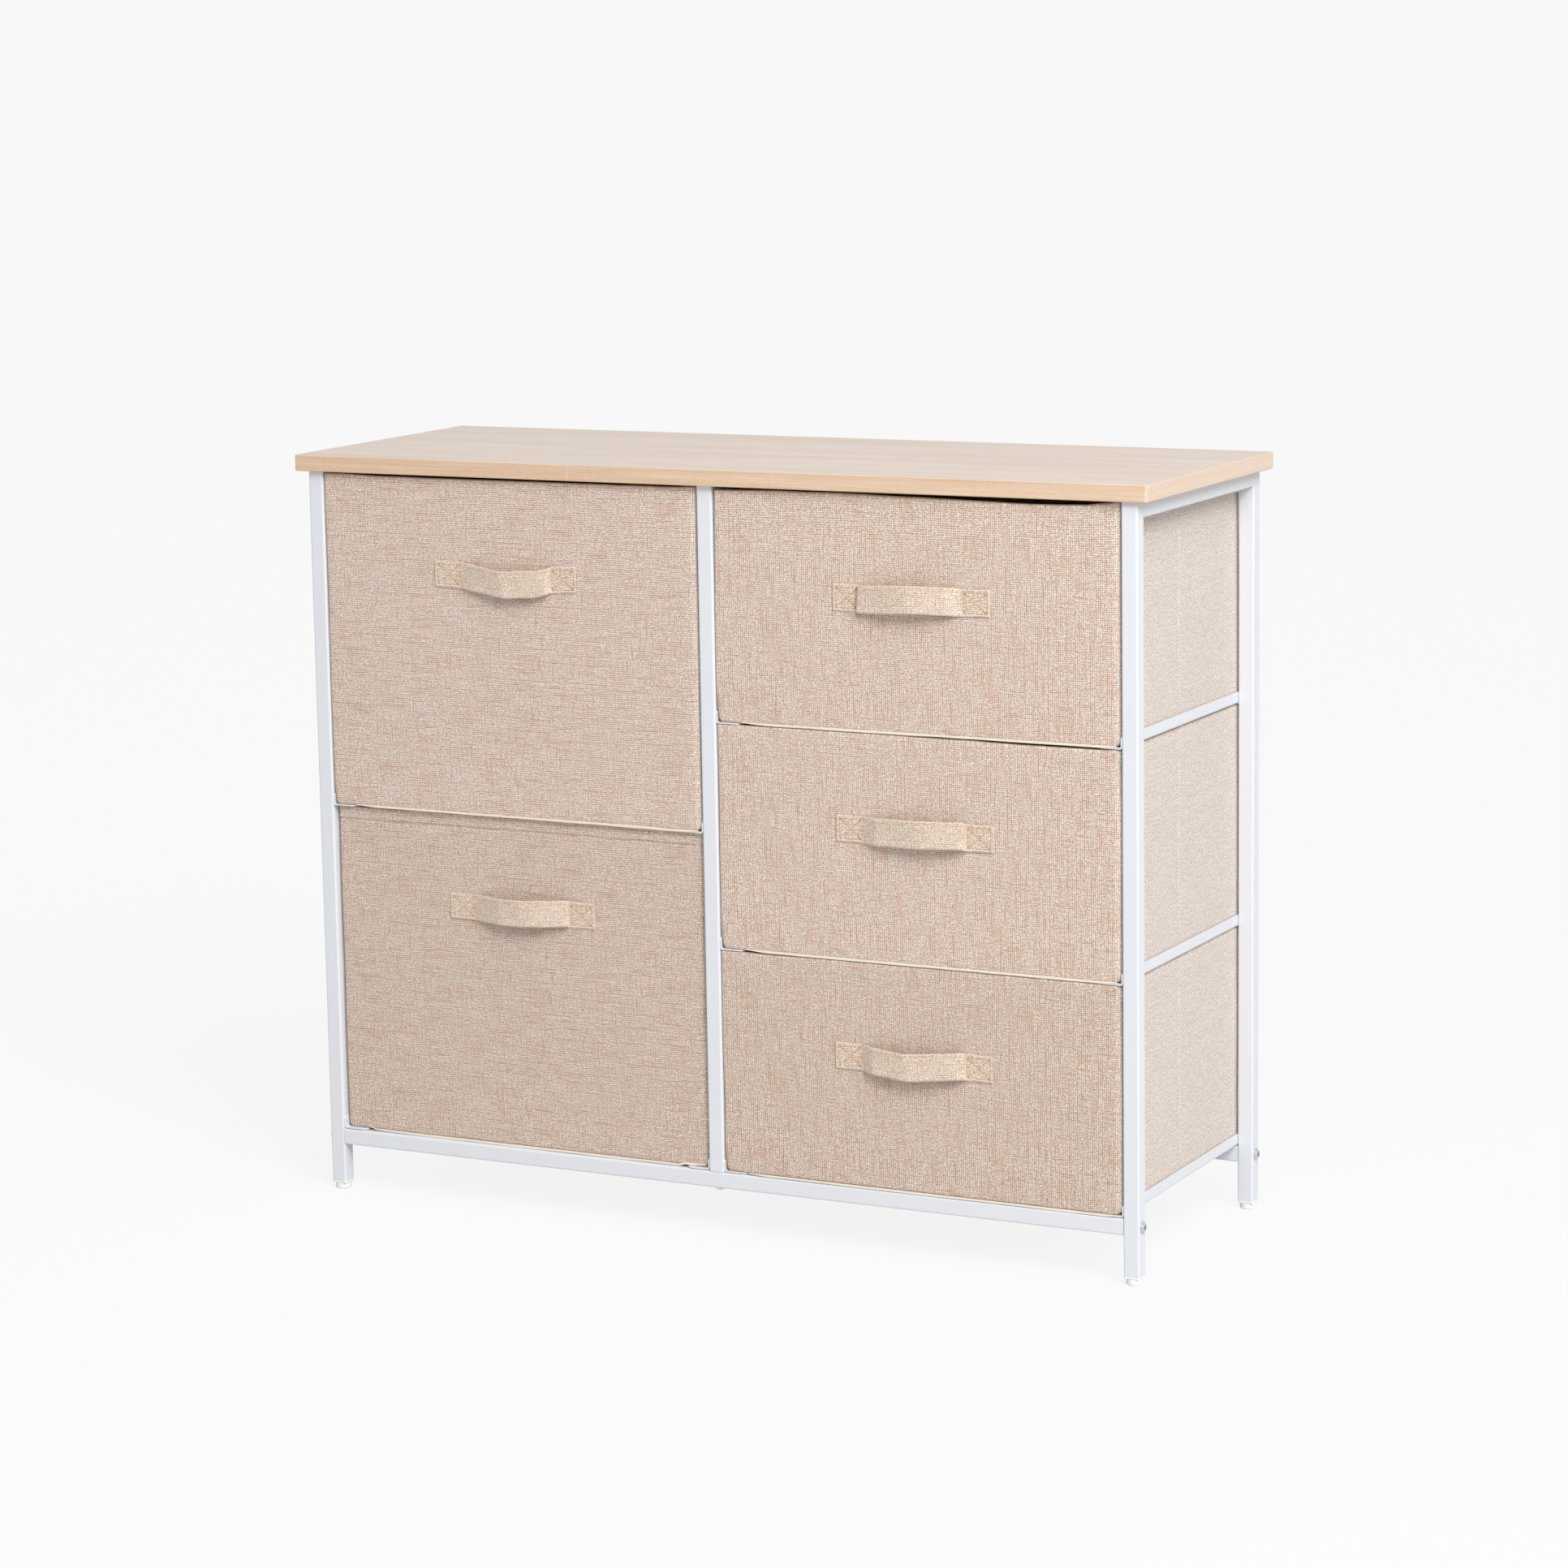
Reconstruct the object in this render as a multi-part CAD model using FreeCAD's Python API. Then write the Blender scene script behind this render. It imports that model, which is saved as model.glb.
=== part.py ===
import FreeCAD, Part
import math
import os

# Fabric drawer dresser, free standing: a laminate tabletop on a frame of square
# steel tube, with five fabric boxes that slide on bent sheet-steel runners, two
# tall ones in the left column and three low ones in the right column.
# Millimetres. X to the right, Y to the back, Z up. The origin is on the floor,
# under the middle of the tabletop.

VECTOR = FreeCAD.Vector
ORIGIN = VECTOR(0, 0, 0)
UP = VECTOR(0, 0, 1)

# ---------------------------------------------------------------- tabletop
TOP_WIDTH = 850.0
TOP_DEPTH = 300.0
TOP_THICK = 15.0
TOP_CORNER_R = 2.5        # upright corners of the board
TOP_EDGE_CUT = 0.8        # chamfer of the edge banding
OVERALL_HEIGHT = 700.0
OVERHANG_SIDE = 11.0
OVERHANG_FRONT = 6.0      # the same at the back

# ---------------------------------------------------------------- steel tube
TUBE = 15.0
TUBE_WALL = 1.2
TUBE_OUTER_R = 1.8
CROSSBAR_CLEAR = 44.5     # floor to the underside of the crossbars

# ---------------------------------------------------------------- fasteners
BOLT_R = 3.0              # M6
BOLT_HEAD_R = 5.25
BOLT_HEAD_H = 2.6
BOLT_RIM_H = 0.8
BOLT_CROWN_R = 3.4
BOLT_SOCKET_FLATS = 4.0
BOLT_SOCKET_DEPTH = 1.6
BOLT_PLAY = 0.2           # hole radius less bolt radius
SHANK_SIDES = 8           # shanks and the holes for them, out of sight
INSERT_LEN = 12.0         # threaded insert in the end of a tube
SCREW_R = 2.0             # wood screw into the tabletop
SCREW_HEAD_R = 4.0
SCREW_HEAD_H = 2.2
SCREW_BITE = 10.0         # length inside the tabletop
SCREW_PLAY = 0.2
SCREW_INSET = 40.0        # from the end of a top rail

# ---------------------------------------------------------------- feet
PAD_R = 7.4
PAD_THICK = 5.8
PAD_EDGE_CUT = 1.0        # chamfer of the lower edge
PAD_GAP = 0.2             # pad to the plug above it
STEM_R = 3.0
STEM_LEN = 15.0
STEM_PLAY = 0.06          # running clearance of the screw stem
PLUG_FLANGE = 3.0
PLUG_INSET = 0.3          # flange behind the faces of the tube
PLUG_BODY = 14.0

# ---------------------------------------------------------------- runners
SHEET = 1.2
SHELF_WIDTH = 24.0
FLANGE_HEIGHT = 9.5       # above the shelf
BEND_R = 1.2              # inside the bend
RUNNER_SETBACK = 0.8      # from the front and rear face of the frame
SHELF_CORNER_R = 6.0
FLANGE_CORNER_CUT = 2.0
LOWEST_SHELF_GAP = 0.7    # crossbar to the lowest shelf

# ---------------------------------------------------------------- drawers
SIDE_GAP = 2.25           # drawer to post
FRONT_SETBACK = 1.0
REAR_SETBACK = 2.0
SEAT_GAP = 0.3            # drawer to the shelf that carries it
SHELF_CLEAR = 0.6         # drawer to the shelf above it
COVER = 1.2               # outer fabric
BOARD = 2.5               # stiffening boards in the walls
LINING = 0.8
HEM = 12.0                # fabric turned over the rim to the inside
FLOOR_BOARD = 3.0
FLOOR_BOARD_GAP = 1.0
EDGE_R = 6.0              # upright edges
LOW_R = 5.0               # lower side edges
FOLD_GAP = 3.0            # between the two halves of a side board
FOLD_SHIFT = -8.0         # fold line, from the middle of the depth
BINDING_HEIGHT = 3.2
BINDING_PROUD = 0.4
BINDING_SUNK = 0.6

# ---------------------------------------------------------------- handles
STRAP = 1.6
STRAP_HEIGHT = 25.0
STRAP_PATCH = 27.0        # length sewn flat at each end
STRAP_LOOP = 98.0         # between the patches
STRAP_STAND_OFF = 16.0
STRAP_SLOPE = 15.0        # along the front, from a patch to the full stand-off
STRAP_DROP = 74.0         # rim of the drawer to the top of the strap

# Column: side of the dresser, clear height above its top drawer, and from the
# bottom up each drawer's name, how far it is pushed in, and how far its handle
# is sewn off centre.
COLUMNS = (
    (-1, 3.2, (("lower_left", 4.0, 5.75), ("upper_left", 0.0, -1.75))),
    (1, 7.1, (("lower_right", 0.0, -3.75), ("middle_right", 0.0, -1.25), ("upper_right", 0.0, -1.25))),
)

# ---------------------------------------------------------------- worked out
FRAME_X = TOP_WIDTH / 2 - OVERHANG_SIDE
FRAME_Y = TOP_DEPTH / 2 - OVERHANG_FRONT
TOP_UNDERSIDE = OVERALL_HEIGHT - TOP_THICK
POST_BOTTOM = PAD_THICK + PAD_GAP + PLUG_FLANGE
CROSSBAR_TOP = CROSSBAR_CLEAR + TUBE
TUBE_INNER = TUBE - 2 * TUBE_WALL
BAY_INNER_X = TUBE / 2
BAY_OUTER_X = FRAME_X - TUBE
BAY_MIDDLE_X = (BAY_INNER_X + BAY_OUTER_X) / 2
DRAWER_WIDTH = BAY_OUTER_X - BAY_INNER_X - 2 * SIDE_GAP
DRAWER_DEPTH = 2 * FRAME_Y - FRONT_SETBACK - REAR_SETBACK
DRAWER_FRONT_Y = FRONT_SETBACK - FRAME_Y
FIRST_DRAWER_Z = CROSSBAR_TOP + LOWEST_SHELF_GAP + SHEET + SEAT_GAP
STACK_GAP = SHELF_CLEAR + SHEET + SEAT_GAP
BOLT_LENGTH = TUBE + INSERT_LEN
OVERCUT = 1.0             # how far a cutting tool runs past the face it cuts


# ---------------------------------------------------------------- shape tools
def outline(corners, place):
    """Closed wire through corners (u, v, radius): straight sides, each corner a
    tangent arc of its radius. place turns (u, v) into a point in space."""
    stops = []
    for index, (u, v, radius) in enumerate(corners):
        corner = VECTOR(u, v, 0)
        back = VECTOR(*corners[index - 1][:2], 0) - corner
        ahead = VECTOR(*corners[(index + 1) % len(corners)][:2], 0) - corner
        if radius <= 0:
            stops.append((corner, corner, corner))
            continue
        half_angle = back.getAngle(ahead) / 2
        reach = radius / math.tan(half_angle)
        back.normalize()
        ahead.normalize()
        inward = (back + ahead).normalize()
        middle = corner + inward * (radius / math.sin(half_angle) - radius)
        stops.append((corner + back * reach, middle, corner + ahead * reach))
    edges = []
    for index, (start, middle, end) in enumerate(stops):
        if (end - start).Length > 1e-7:
            edges.append(Part.Arc(*(place(p.x, p.y) for p in (start, middle, end))).toShape())
        following = stops[(index + 1) % len(stops)][0]
        if (following - end).Length > 1e-7:
            edges.append(Part.makeLine(place(end.x, end.y), place(following.x, following.y)))
    return Part.Wire(edges)


def prism(corners, place, along):
    """Solid swept from the outline of corners by the vector along."""
    return Part.Face(outline(corners, place)).extrude(along)


def plan(z):
    """Places (u, v) at (x, y) on the level z."""
    return lambda u, v: VECTOR(u, v, z)


def elevation(y):
    """Places (u, v) at (x, z) on the plane y."""
    return lambda u, v: VECTOR(u, y, v)


def profile(x):
    """Places (u, v) at (y, z) on the plane x."""
    return lambda u, v: VECTOR(x, u, v)


def rectangle(u0, v0, u1, v1, radius=0.0, top_radius=None):
    """Corners of a rectangle, with one radius, or another at its upper side."""
    upper = radius if top_radius is None else top_radius
    return [(u0, v0, radius), (u1, v0, radius), (u1, v1, upper), (u0, v1, upper)]


def cut_rectangle(u0, v0, u1, v1, cut, top_cut=None):
    """Corners of a rectangle with its own corners cut off, by one size, or by
    another at its upper side, where 0 leaves them sharp."""
    upper = cut if top_cut is None else top_cut
    lower = [(u0, v0 + cut, 0), (u0 + cut, v0, 0), (u1 - cut, v0, 0), (u1, v0 + cut, 0)]
    higher = [(u1, v1 - upper, 0), (u1 - upper, v1, 0), (u0 + upper, v1, 0), (u0, v1 - upper, 0)]
    return (lower if cut > 0 else lower[::3]) + (higher if upper > 0 else higher[::3])


def polygon(sides, radius):
    """Corners of a regular polygon, at radius from the origin."""
    angles = [2 * math.pi * k / sides for k in range(sides)]
    return [(radius * math.cos(a), radius * math.sin(a), 0) for a in angles]


def block(x0, y0, z0, x1, y1, z1):
    return Part.makeBox(x1 - x0, y1 - y0, z1 - z0, VECTOR(x0, y0, z0))


def placed(body, start, axis):
    """Body drawn at the origin along Z, put with its origin at start along axis."""
    body.Placement = FreeCAD.Placement(start, FreeCAD.Rotation(UP, axis))
    return body


def shank(radius, length, start, axis):
    """Shank or hole along axis from start, its corners at radius."""
    return placed(prism(polygon(SHANK_SIDES, radius), plan(0), UP * length), start, axis)


def bent_strip(path, thick, bend_r=None):
    """Corners of a strip of even thickness whose middle line is path, creased at
    each inner point, or bent there round an inside radius bend_r."""
    half = thick / 2
    points = [VECTOR(u, v, 0) for u, v in path]
    headings = [(b - a).normalize() for a, b in zip(points, points[1:])]
    sides = []
    for side in (1, -1):
        corners = []
        for index, point in enumerate(points):
            before = headings[max(index - 1, 0)]
            after = headings[min(index, len(headings) - 1)]
            left = VECTOR(-before.y - after.y, before.x + after.x, 0)
            spot = point + left * (side * half / (1 + before.dot(after)))
            turn = before.x * after.y - before.y * after.x
            inside = turn * side > 0
            plain = bend_r is None or abs(turn) < 1e-9
            corners.append((spot.x, spot.y, 0.0 if plain else bend_r + (0.0 if inside else thick)))
        sides.append(corners)
    return sides[0] + sides[1][::-1]


def square_tube(place, along):
    """Length of tube centred on the placing plane's origin, its inner corners sharp."""
    half = TUBE / 2
    hollow = TUBE_INNER / 2
    outer = prism(rectangle(-half, -half, half, half, TUBE_OUTER_R), place, along)
    inner = prism(rectangle(-hollow, -hollow, hollow, hollow), place, along)
    return outer.cut(inner)


# ---------------------------------------------------------------- frame
def upright_tube(x, y, z0, z1):
    return square_tube(lambda u, v: VECTOR(x + u, y + v, z0), VECTOR(0, 0, z1 - z0))


def mitre_cutter(side_x, end, below):
    """Wedge on one side of the 45 degree joint between a post and the top rail,
    at the front end (-1) or the rear end (1) of a side frame."""
    out = end * (FRAME_Y + OVERCUT)
    inner = end * (FRAME_Y - TUBE - OVERCUT)
    high = TOP_UNDERSIDE + OVERCUT
    low = TOP_UNDERSIDE - TUBE - OVERCUT
    third = (out, low, 0) if below else (inner, high, 0)
    width = TUBE + 2 * OVERCUT
    return prism([(out, high, 0), (inner, low, 0), third], profile(side_x - width / 2), VECTOR(width, 0, 0))


def tube_core(u, v):
    """Outline that fills a tube centred on (u, v)."""
    half = TUBE_INNER / 2
    return rectangle(u - half, v - half, u + half, v + half)


def tube_insert(start, axis):
    """Threaded insert that fills the end of a tube, from start inwards."""
    core = placed(prism(tube_core(0, 0), plan(0), UP * INSERT_LEN), start, axis)
    return core.cut(shank(BOLT_R, INSERT_LEN, start, axis))


def turned(steps):
    """Solid of revolution about Z: steps are (radius, height)."""
    face = Part.Face(Part.makePolygon([VECTOR(r, 0, h) for r, h in steps + steps[:1]]))
    return face.revolve(ORIGIN, UP, 360)


def button_bolt(start, axis):
    """Button-head bolt: the head's seat is at start, the shank runs along axis."""
    crown = [(BOLT_HEAD_R, -BOLT_RIM_H), (BOLT_CROWN_R, -BOLT_HEAD_H)]
    head = turned([(0, 0), (BOLT_HEAD_R, 0)] + crown + [(0, -BOLT_HEAD_H)])
    hexagon = polygon(6, BOLT_SOCKET_FLATS / 2 / math.cos(math.pi / 6))
    socket = prism(hexagon, plan(-BOLT_HEAD_H - OVERCUT), UP * (BOLT_SOCKET_DEPTH + OVERCUT))
    bolt = head.cut(socket).fuse(shank(BOLT_R, BOLT_LENGTH, ORIGIN, UP))
    return placed(bolt.removeSplitter(), start, axis)


def wood_screw(x, y):
    """Pan-head screw up through a top rail into the tabletop."""
    seat = VECTOR(x, y, TOP_UNDERSIDE - TUBE)
    head = shank(SCREW_HEAD_R, SCREW_HEAD_H, seat - UP * SCREW_HEAD_H, UP)
    return head.fuse(shank(SCREW_R, TUBE + SCREW_BITE, seat, UP))


def top_rail(x):
    tube = square_tube(
        lambda u, v: VECTOR(x + u, -FRAME_Y, TOP_UNDERSIDE - TUBE / 2 + v), VECTOR(0, 2 * FRAME_Y, 0)
    )
    for end in (-1, 1):
        tube = tube.cut(mitre_cutter(x, end, below=True))
        start = VECTOR(x, end * (FRAME_Y - SCREW_INSET), TOP_UNDERSIDE - TUBE - OVERCUT)
        tube = tube.cut(shank(SCREW_R + SCREW_PLAY, TUBE + 2 * OVERCUT, start, UP))
    return tube


def post(x, end, z0):
    """Upright of a side frame at its front (-1) or rear (1) end."""
    y = end * (FRAME_Y - TUBE / 2)
    return upright_tube(x, y, z0, TOP_UNDERSIDE).cut(mitre_cutter(x, end, below=False))


def tabletop():
    half_x = TOP_WIDTH / 2
    half_y = TOP_DEPTH / 2
    outer = rectangle(-half_x, -half_y, half_x, half_y, TOP_CORNER_R)
    board = prism(outer, plan(TOP_UNDERSIDE), VECTOR(0, 0, TOP_THICK))
    rims = [e for e in board.Edges if abs(e.BoundBox.ZMax - e.BoundBox.ZMin) < 1e-6]
    board = board.makeChamfer(TOP_EDGE_CUT, rims)
    for x, y in SCREW_PLACES:
        board = board.cut(shank(SCREW_R, SCREW_BITE, VECTOR(x, y, TOP_UNDERSIDE), UP))
    return board


def crossbar(end):
    y = end * (FRAME_Y - TUBE / 2)
    middle_z = CROSSBAR_CLEAR + TUBE / 2
    bar = square_tube(lambda u, v: VECTOR(-BAY_OUTER_X, y + u, middle_z + v), VECTOR(2 * BAY_OUTER_X, 0, 0))
    start = VECTOR(0, y, CROSSBAR_CLEAR - OVERCUT)
    return bar.cut(shank(BOLT_R + BOLT_PLAY, TUBE + 2 * OVERCUT, start, UP))


def foot_plug(x, y):
    """Square plastic plug in the end of a corner post, bored for the foot's stem."""
    half = TUBE / 2 - PLUG_INSET
    flange_z = POST_BOTTOM - PLUG_FLANGE
    rim = rectangle(x - half, y - half, x + half, y + half, TUBE_OUTER_R - PLUG_INSET)
    flange = prism(rim, plan(flange_z), UP * PLUG_FLANGE)
    body = prism(tube_core(x, y), plan(POST_BOTTOM), UP * PLUG_BODY)
    length = PLUG_FLANGE + PLUG_BODY + 2 * OVERCUT
    bore = shank(STEM_R + STEM_PLAY, length, VECTOR(x, y, flange_z - OVERCUT), UP)
    return flange.fuse(body).removeSplitter().cut(bore)


def levelling_foot(x, y):
    pad = Part.makeCylinder(PAD_R, PAD_THICK, VECTOR(x, y, 0), UP)
    pad = pad.makeChamfer(PAD_EDGE_CUT, [e for e in pad.Edges if e.BoundBox.ZMax < PAD_THICK / 2])
    return pad.fuse(shank(STEM_R, STEM_LEN, VECTOR(x, y, PAD_THICK), UP))


def runner(face_x, heading, shelf_z):
    """Bent sheet rail welded to the posts at face_x, its shelf towards heading:
    an L section swept along Y, its free corners trimmed by two prisms."""
    y0 = RUNNER_SETBACK - FRAME_Y
    length = 2 * (FRAME_Y - RUNNER_SETBACK)
    wall = face_x + heading * SHEET / 2
    tip = face_x + heading * SHELF_WIDTH
    shelf = shelf_z - SHEET / 2
    crest = shelf_z + FLANGE_HEIGHT
    section = bent_strip([(wall, crest), (wall, shelf), (tip, shelf)], SHEET, BEND_R)
    rail = prism(section, elevation(y0), VECTOR(0, length, 0))
    spread = sorted((face_x - heading * OVERCUT, tip))
    free = (0.0, SHELF_CORNER_R)
    left, right = free if heading > 0 else free[::-1]
    y1 = y0 + length
    footprint = [(spread[0], y0, left), (spread[1], y0, right), (spread[1], y1, right), (spread[0], y1, left)]
    bottom = shelf_z - SHEET
    rail = rail.common(prism(footprint, plan(bottom - OVERCUT), VECTOR(0, 0, crest - bottom + 2 * OVERCUT)))
    side = cut_rectangle(y0, bottom, y1, crest, 0.0, FLANGE_CORNER_CUT)
    return rail.common(prism(side, profile(spread[0]), VECTOR(spread[1] - spread[0], 0, 0)))


# ---------------------------------------------------------------- drawers
def drawer_block(inset, z0, z1):
    """Box inset from the drawer's outside, its upright edges rounded, or cut where
    they lie inside. In the drawer's own frame x = 0 is its middle, y = 0 its front,
    z = 0 its underside."""
    half = DRAWER_WIDTH / 2 - inset
    corners = cut_rectangle if inset > 0 else rectangle
    footprint = corners(-half, inset, half, DRAWER_DEPTH - inset, EDGE_R - inset)
    return prism(footprint, plan(z0), VECTOR(0, 0, z1 - z0))


def drawer_body(inset, z0, z1):
    """The same box with its lower side edges rounded, or cut: the common part of a
    plan prism and a front prism."""
    half = DRAWER_WIDTH / 2 - inset
    corners = cut_rectangle if inset > 0 else rectangle
    front = corners(-half, z0, half, z1, LOW_R - inset, 0.0)
    return drawer_block(inset, z0, z1).common(prism(front, elevation(0), VECTOR(0, DRAWER_DEPTH, 0)))


def binding_block(proud, sunk):
    reach = DRAWER_WIDTH / 2 - max(LOW_R, EDGE_R)
    return block(-reach, -proud, 0, reach, sunk, BINDING_HEIGHT)


def drawer_cover(height):
    """Outer fabric: floor and four walls, turned over the rim as a hem. The
    walls are hollow above the floor for the boards and the lining."""
    board_side = COVER + BOARD
    inside = board_side + LINING
    hem_z = height - HEM
    cap_z = height - COVER
    shell = drawer_body(0, 0, height)
    shell = shell.cut(drawer_body(COVER, COVER, hem_z))
    slot = drawer_block(COVER, hem_z - COVER, cap_z).cut(drawer_block(board_side, hem_z - 2 * COVER, height))
    shell = shell.cut(slot)
    shell = shell.cut(drawer_block(inside, hem_z - COVER, height + OVERCUT))
    return shell.cut(binding_block(OVERCUT, BINDING_SUNK))


def drawer_lining(height):
    board_side = COVER + BOARD
    outer = drawer_body(board_side, COVER, height - HEM)
    return outer.cut(drawer_body(board_side + LINING, COVER + LINING, height))


def wall_board(x0, y0, x1, y1, z0, height):
    return block(x0, y0, z0, x1, y1, height - COVER)


def side_boards(height):
    """Two halves in each side wall, parted at the fold line, and the back board."""
    outer = DRAWER_WIDTH / 2 - COVER
    fold = DRAWER_DEPTH / 2 + FOLD_SHIFT
    halves = ((EDGE_R, fold - FOLD_GAP / 2), (fold + FOLD_GAP / 2, DRAWER_DEPTH - EDGE_R))
    boards = []
    for y0, y1 in halves:
        boards.append(wall_board(-outer, y0, BOARD - outer, y1, LOW_R, height))
        boards.append(wall_board(outer - BOARD, y0, outer, y1, LOW_R, height))
    return boards


def cross_board(height, front):
    """Board of the front wall or the back wall."""
    half = DRAWER_WIDTH / 2 - EDGE_R
    y0 = COVER if front else DRAWER_DEPTH - COVER - BOARD
    return wall_board(-half, y0, half, y0 + BOARD, COVER, height)


def floor_board():
    inset = COVER + BOARD + LINING + FLOOR_BOARD_GAP
    half = DRAWER_WIDTH / 2 - inset
    corners = rectangle(-half, inset, half, DRAWER_DEPTH - inset)
    return prism(corners, plan(COVER + LINING), VECTOR(0, 0, FLOOR_BOARD))


def strap_handle(height, shift):
    """Webbing strap sewn flat at both ends, standing off the front between."""
    flat = -STRAP / 2
    out = -STRAP_STAND_OFF
    gap = STRAP_LOOP / 2
    end = gap + STRAP_PATCH
    path = [(shift - end, flat), (shift - gap, flat), (shift - gap + STRAP_SLOPE, out)]
    path += [(shift + gap - STRAP_SLOPE, out), (shift + gap, flat), (shift + end, flat)]
    low = height - STRAP_DROP - STRAP_HEIGHT
    return prism(bent_strip(path, STRAP), plan(low), VECTOR(0, 0, STRAP_HEIGHT))


def drawer(name, height, at, shift):
    """Nodes of one drawer, moved from the drawer's own frame to its place."""
    pieces = {
        "cover": [drawer_cover(height)],
        "lining": [drawer_lining(height)],
        "front_board": [cross_board(height, True)],
        "side_and_back_boards": side_boards(height) + [cross_board(height, False)],
        "floor_board": [floor_board()],
        "binding": [binding_block(BINDING_PROUD, BINDING_SUNK)],
        "handle": [strap_handle(height, shift)],
    }
    return {f"{name}_drawer_{key}": [s.translated(at) for s in solids] for key, solids in pieces.items()}


# ---------------------------------------------------------------- assembly
FRAME_MIDDLES = {"left": TUBE / 2 - FRAME_X, "middle": 0.0, "right": FRAME_X - TUBE / 2}
SCREW_PLACES = [(x, end * (FRAME_Y - SCREW_INSET)) for x in FRAME_MIDDLES.values() for end in (-1, 1)]
ENDS = {"front": -1, "rear": 1}

nodes = {"tabletop": [tabletop()]}
bolts = []
inserts = []
plugs = []
for side, x in FRAME_MIDDLES.items():
    nodes[f"{side}_top_rail"] = [top_rail(x)]
    for end_name, end in ENDS.items():
        y = end * (FRAME_Y - TUBE / 2)
        if side == "middle":
            nodes[f"{side}_{end_name}_post"] = [post(x, end, CROSSBAR_TOP)]
            bolts.append(button_bolt(VECTOR(x, y, CROSSBAR_CLEAR), UP))
            inserts.append(tube_insert(VECTOR(x, y, CROSSBAR_TOP), UP))
            continue
        outward = 1 if x > 0 else -1
        middle_z = CROSSBAR_CLEAR + TUBE / 2
        inward = VECTOR(-outward, 0, 0)
        start = VECTOR(outward * (FRAME_X + OVERCUT), y, middle_z)
        hole = shank(BOLT_R + BOLT_PLAY, TUBE + 2 * OVERCUT, start, inward)
        nodes[f"{side}_{end_name}_post"] = [post(x, end, POST_BOTTOM).cut(hole)]
        bolts.append(button_bolt(VECTOR(outward * FRAME_X, y, middle_z), inward))
        inserts.append(tube_insert(VECTOR(outward * BAY_OUTER_X, y, middle_z), inward))
        plugs.append(foot_plug(x, y))
        nodes[f"{end_name}_{side}_foot"] = [levelling_foot(x, y)]
nodes["front_crossbar"] = [crossbar(-1)]
nodes["rear_crossbar"] = [crossbar(1)]
nodes["frame_bolts"] = bolts
nodes["threaded_inserts"] = inserts
nodes["foot_plugs"] = plugs
nodes["tabletop_screws"] = [wood_screw(x, y) for x, y in SCREW_PLACES]

for direction, head_gap, drawers in COLUMNS:
    stack_top = TOP_UNDERSIDE - head_gap
    pitch = (stack_top - FIRST_DRAWER_Z + STACK_GAP) / len(drawers)
    outer_name, inner_name = ("left", "middle_left") if direction < 0 else ("right", "middle_right")
    levels = [FIRST_DRAWER_Z + pitch * level for level in range(len(drawers))]
    nodes[f"{outer_name}_runners"] = [runner(direction * BAY_OUTER_X, -direction, z - SEAT_GAP) for z in levels]
    nodes[f"{inner_name}_runners"] = [runner(direction * BAY_INNER_X, direction, z - SEAT_GAP) for z in levels]
    for z, (name, pushed_in, shift) in zip(levels, drawers):
        at = VECTOR(direction * BAY_MIDDLE_X, DRAWER_FRONT_Y + pushed_in, z)
        nodes.update(drawer(name, pitch - STACK_GAP, at, shift))

os.makedirs("parts", exist_ok=True)
for name, solids in nodes.items():
    for solid in solids:
        if len(solid.Solids) != 1 or not solid.isValid() or solid.Volume <= 0:
            print("check", name, len(solid.Solids), solid.isValid(), solid.Volume)
    shape = solids[0] if len(solids) == 1 else Part.makeCompound(solids)
    shape.exportStep(f"parts/{name}.step")
print(len(nodes), "nodes")
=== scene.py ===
import math

import bmesh
import bpy
import numpy as np
from mathutils import Matrix, Vector

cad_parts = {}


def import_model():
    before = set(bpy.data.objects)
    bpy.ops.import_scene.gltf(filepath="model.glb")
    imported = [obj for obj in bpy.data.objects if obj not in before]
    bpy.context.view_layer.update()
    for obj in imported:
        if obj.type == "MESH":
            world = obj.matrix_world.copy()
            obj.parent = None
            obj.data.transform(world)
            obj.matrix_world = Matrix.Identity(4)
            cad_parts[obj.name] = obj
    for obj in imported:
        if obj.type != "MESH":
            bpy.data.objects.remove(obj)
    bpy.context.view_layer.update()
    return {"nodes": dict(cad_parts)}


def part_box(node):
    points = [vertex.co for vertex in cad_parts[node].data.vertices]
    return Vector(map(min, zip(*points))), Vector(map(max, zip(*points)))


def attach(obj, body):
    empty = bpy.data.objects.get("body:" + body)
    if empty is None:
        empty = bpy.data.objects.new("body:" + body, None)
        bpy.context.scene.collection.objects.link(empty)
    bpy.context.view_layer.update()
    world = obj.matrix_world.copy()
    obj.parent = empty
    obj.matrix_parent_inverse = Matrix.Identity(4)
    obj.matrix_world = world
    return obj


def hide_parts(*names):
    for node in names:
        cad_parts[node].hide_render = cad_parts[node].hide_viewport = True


# Fabric drawer dresser: the finishes of its frame and tabletop, and its soft parts:
# five linen-look drawer covers with their linings, bindings and strap handles.
# Metres. X to the right, Y to the back, Z up, the origin on the floor.

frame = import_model()

MM = 0.001

# ---------------------------------------------------------------- sizes
LEFT_EDGE_R = 3.5 * MM     # upright edges of a drawer, on its left and right
RIGHT_EDGE_R = 6 * MM
LOW_SIDE_R = 5 * MM        # lower edges along its sides
LOW_END_R = 1.6 * MM       # lower edges along its front and back
RIM_R = 1.8 * MM
CLOTH = 0.7 * MM
WALL = 4.9 * MM            # cover, board and turned hem together
LINING_WALL = 4.4 * MM
LINING_FLOOR = 1.7 * MM
HEM = 12 * MM              # hem line below the rim, and depth of the hem inside
FOLD_SHIFT = -8 * MM       # fold line of the side boards, from the middle of the depth
FOLD_DEPTH = 0.9 * MM      # how far the cloth dips into it
FOLD_WIDTH = 1.6 * MM
FRONT_SWAY = 0.35 * MM     # long waves of the cloth
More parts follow.
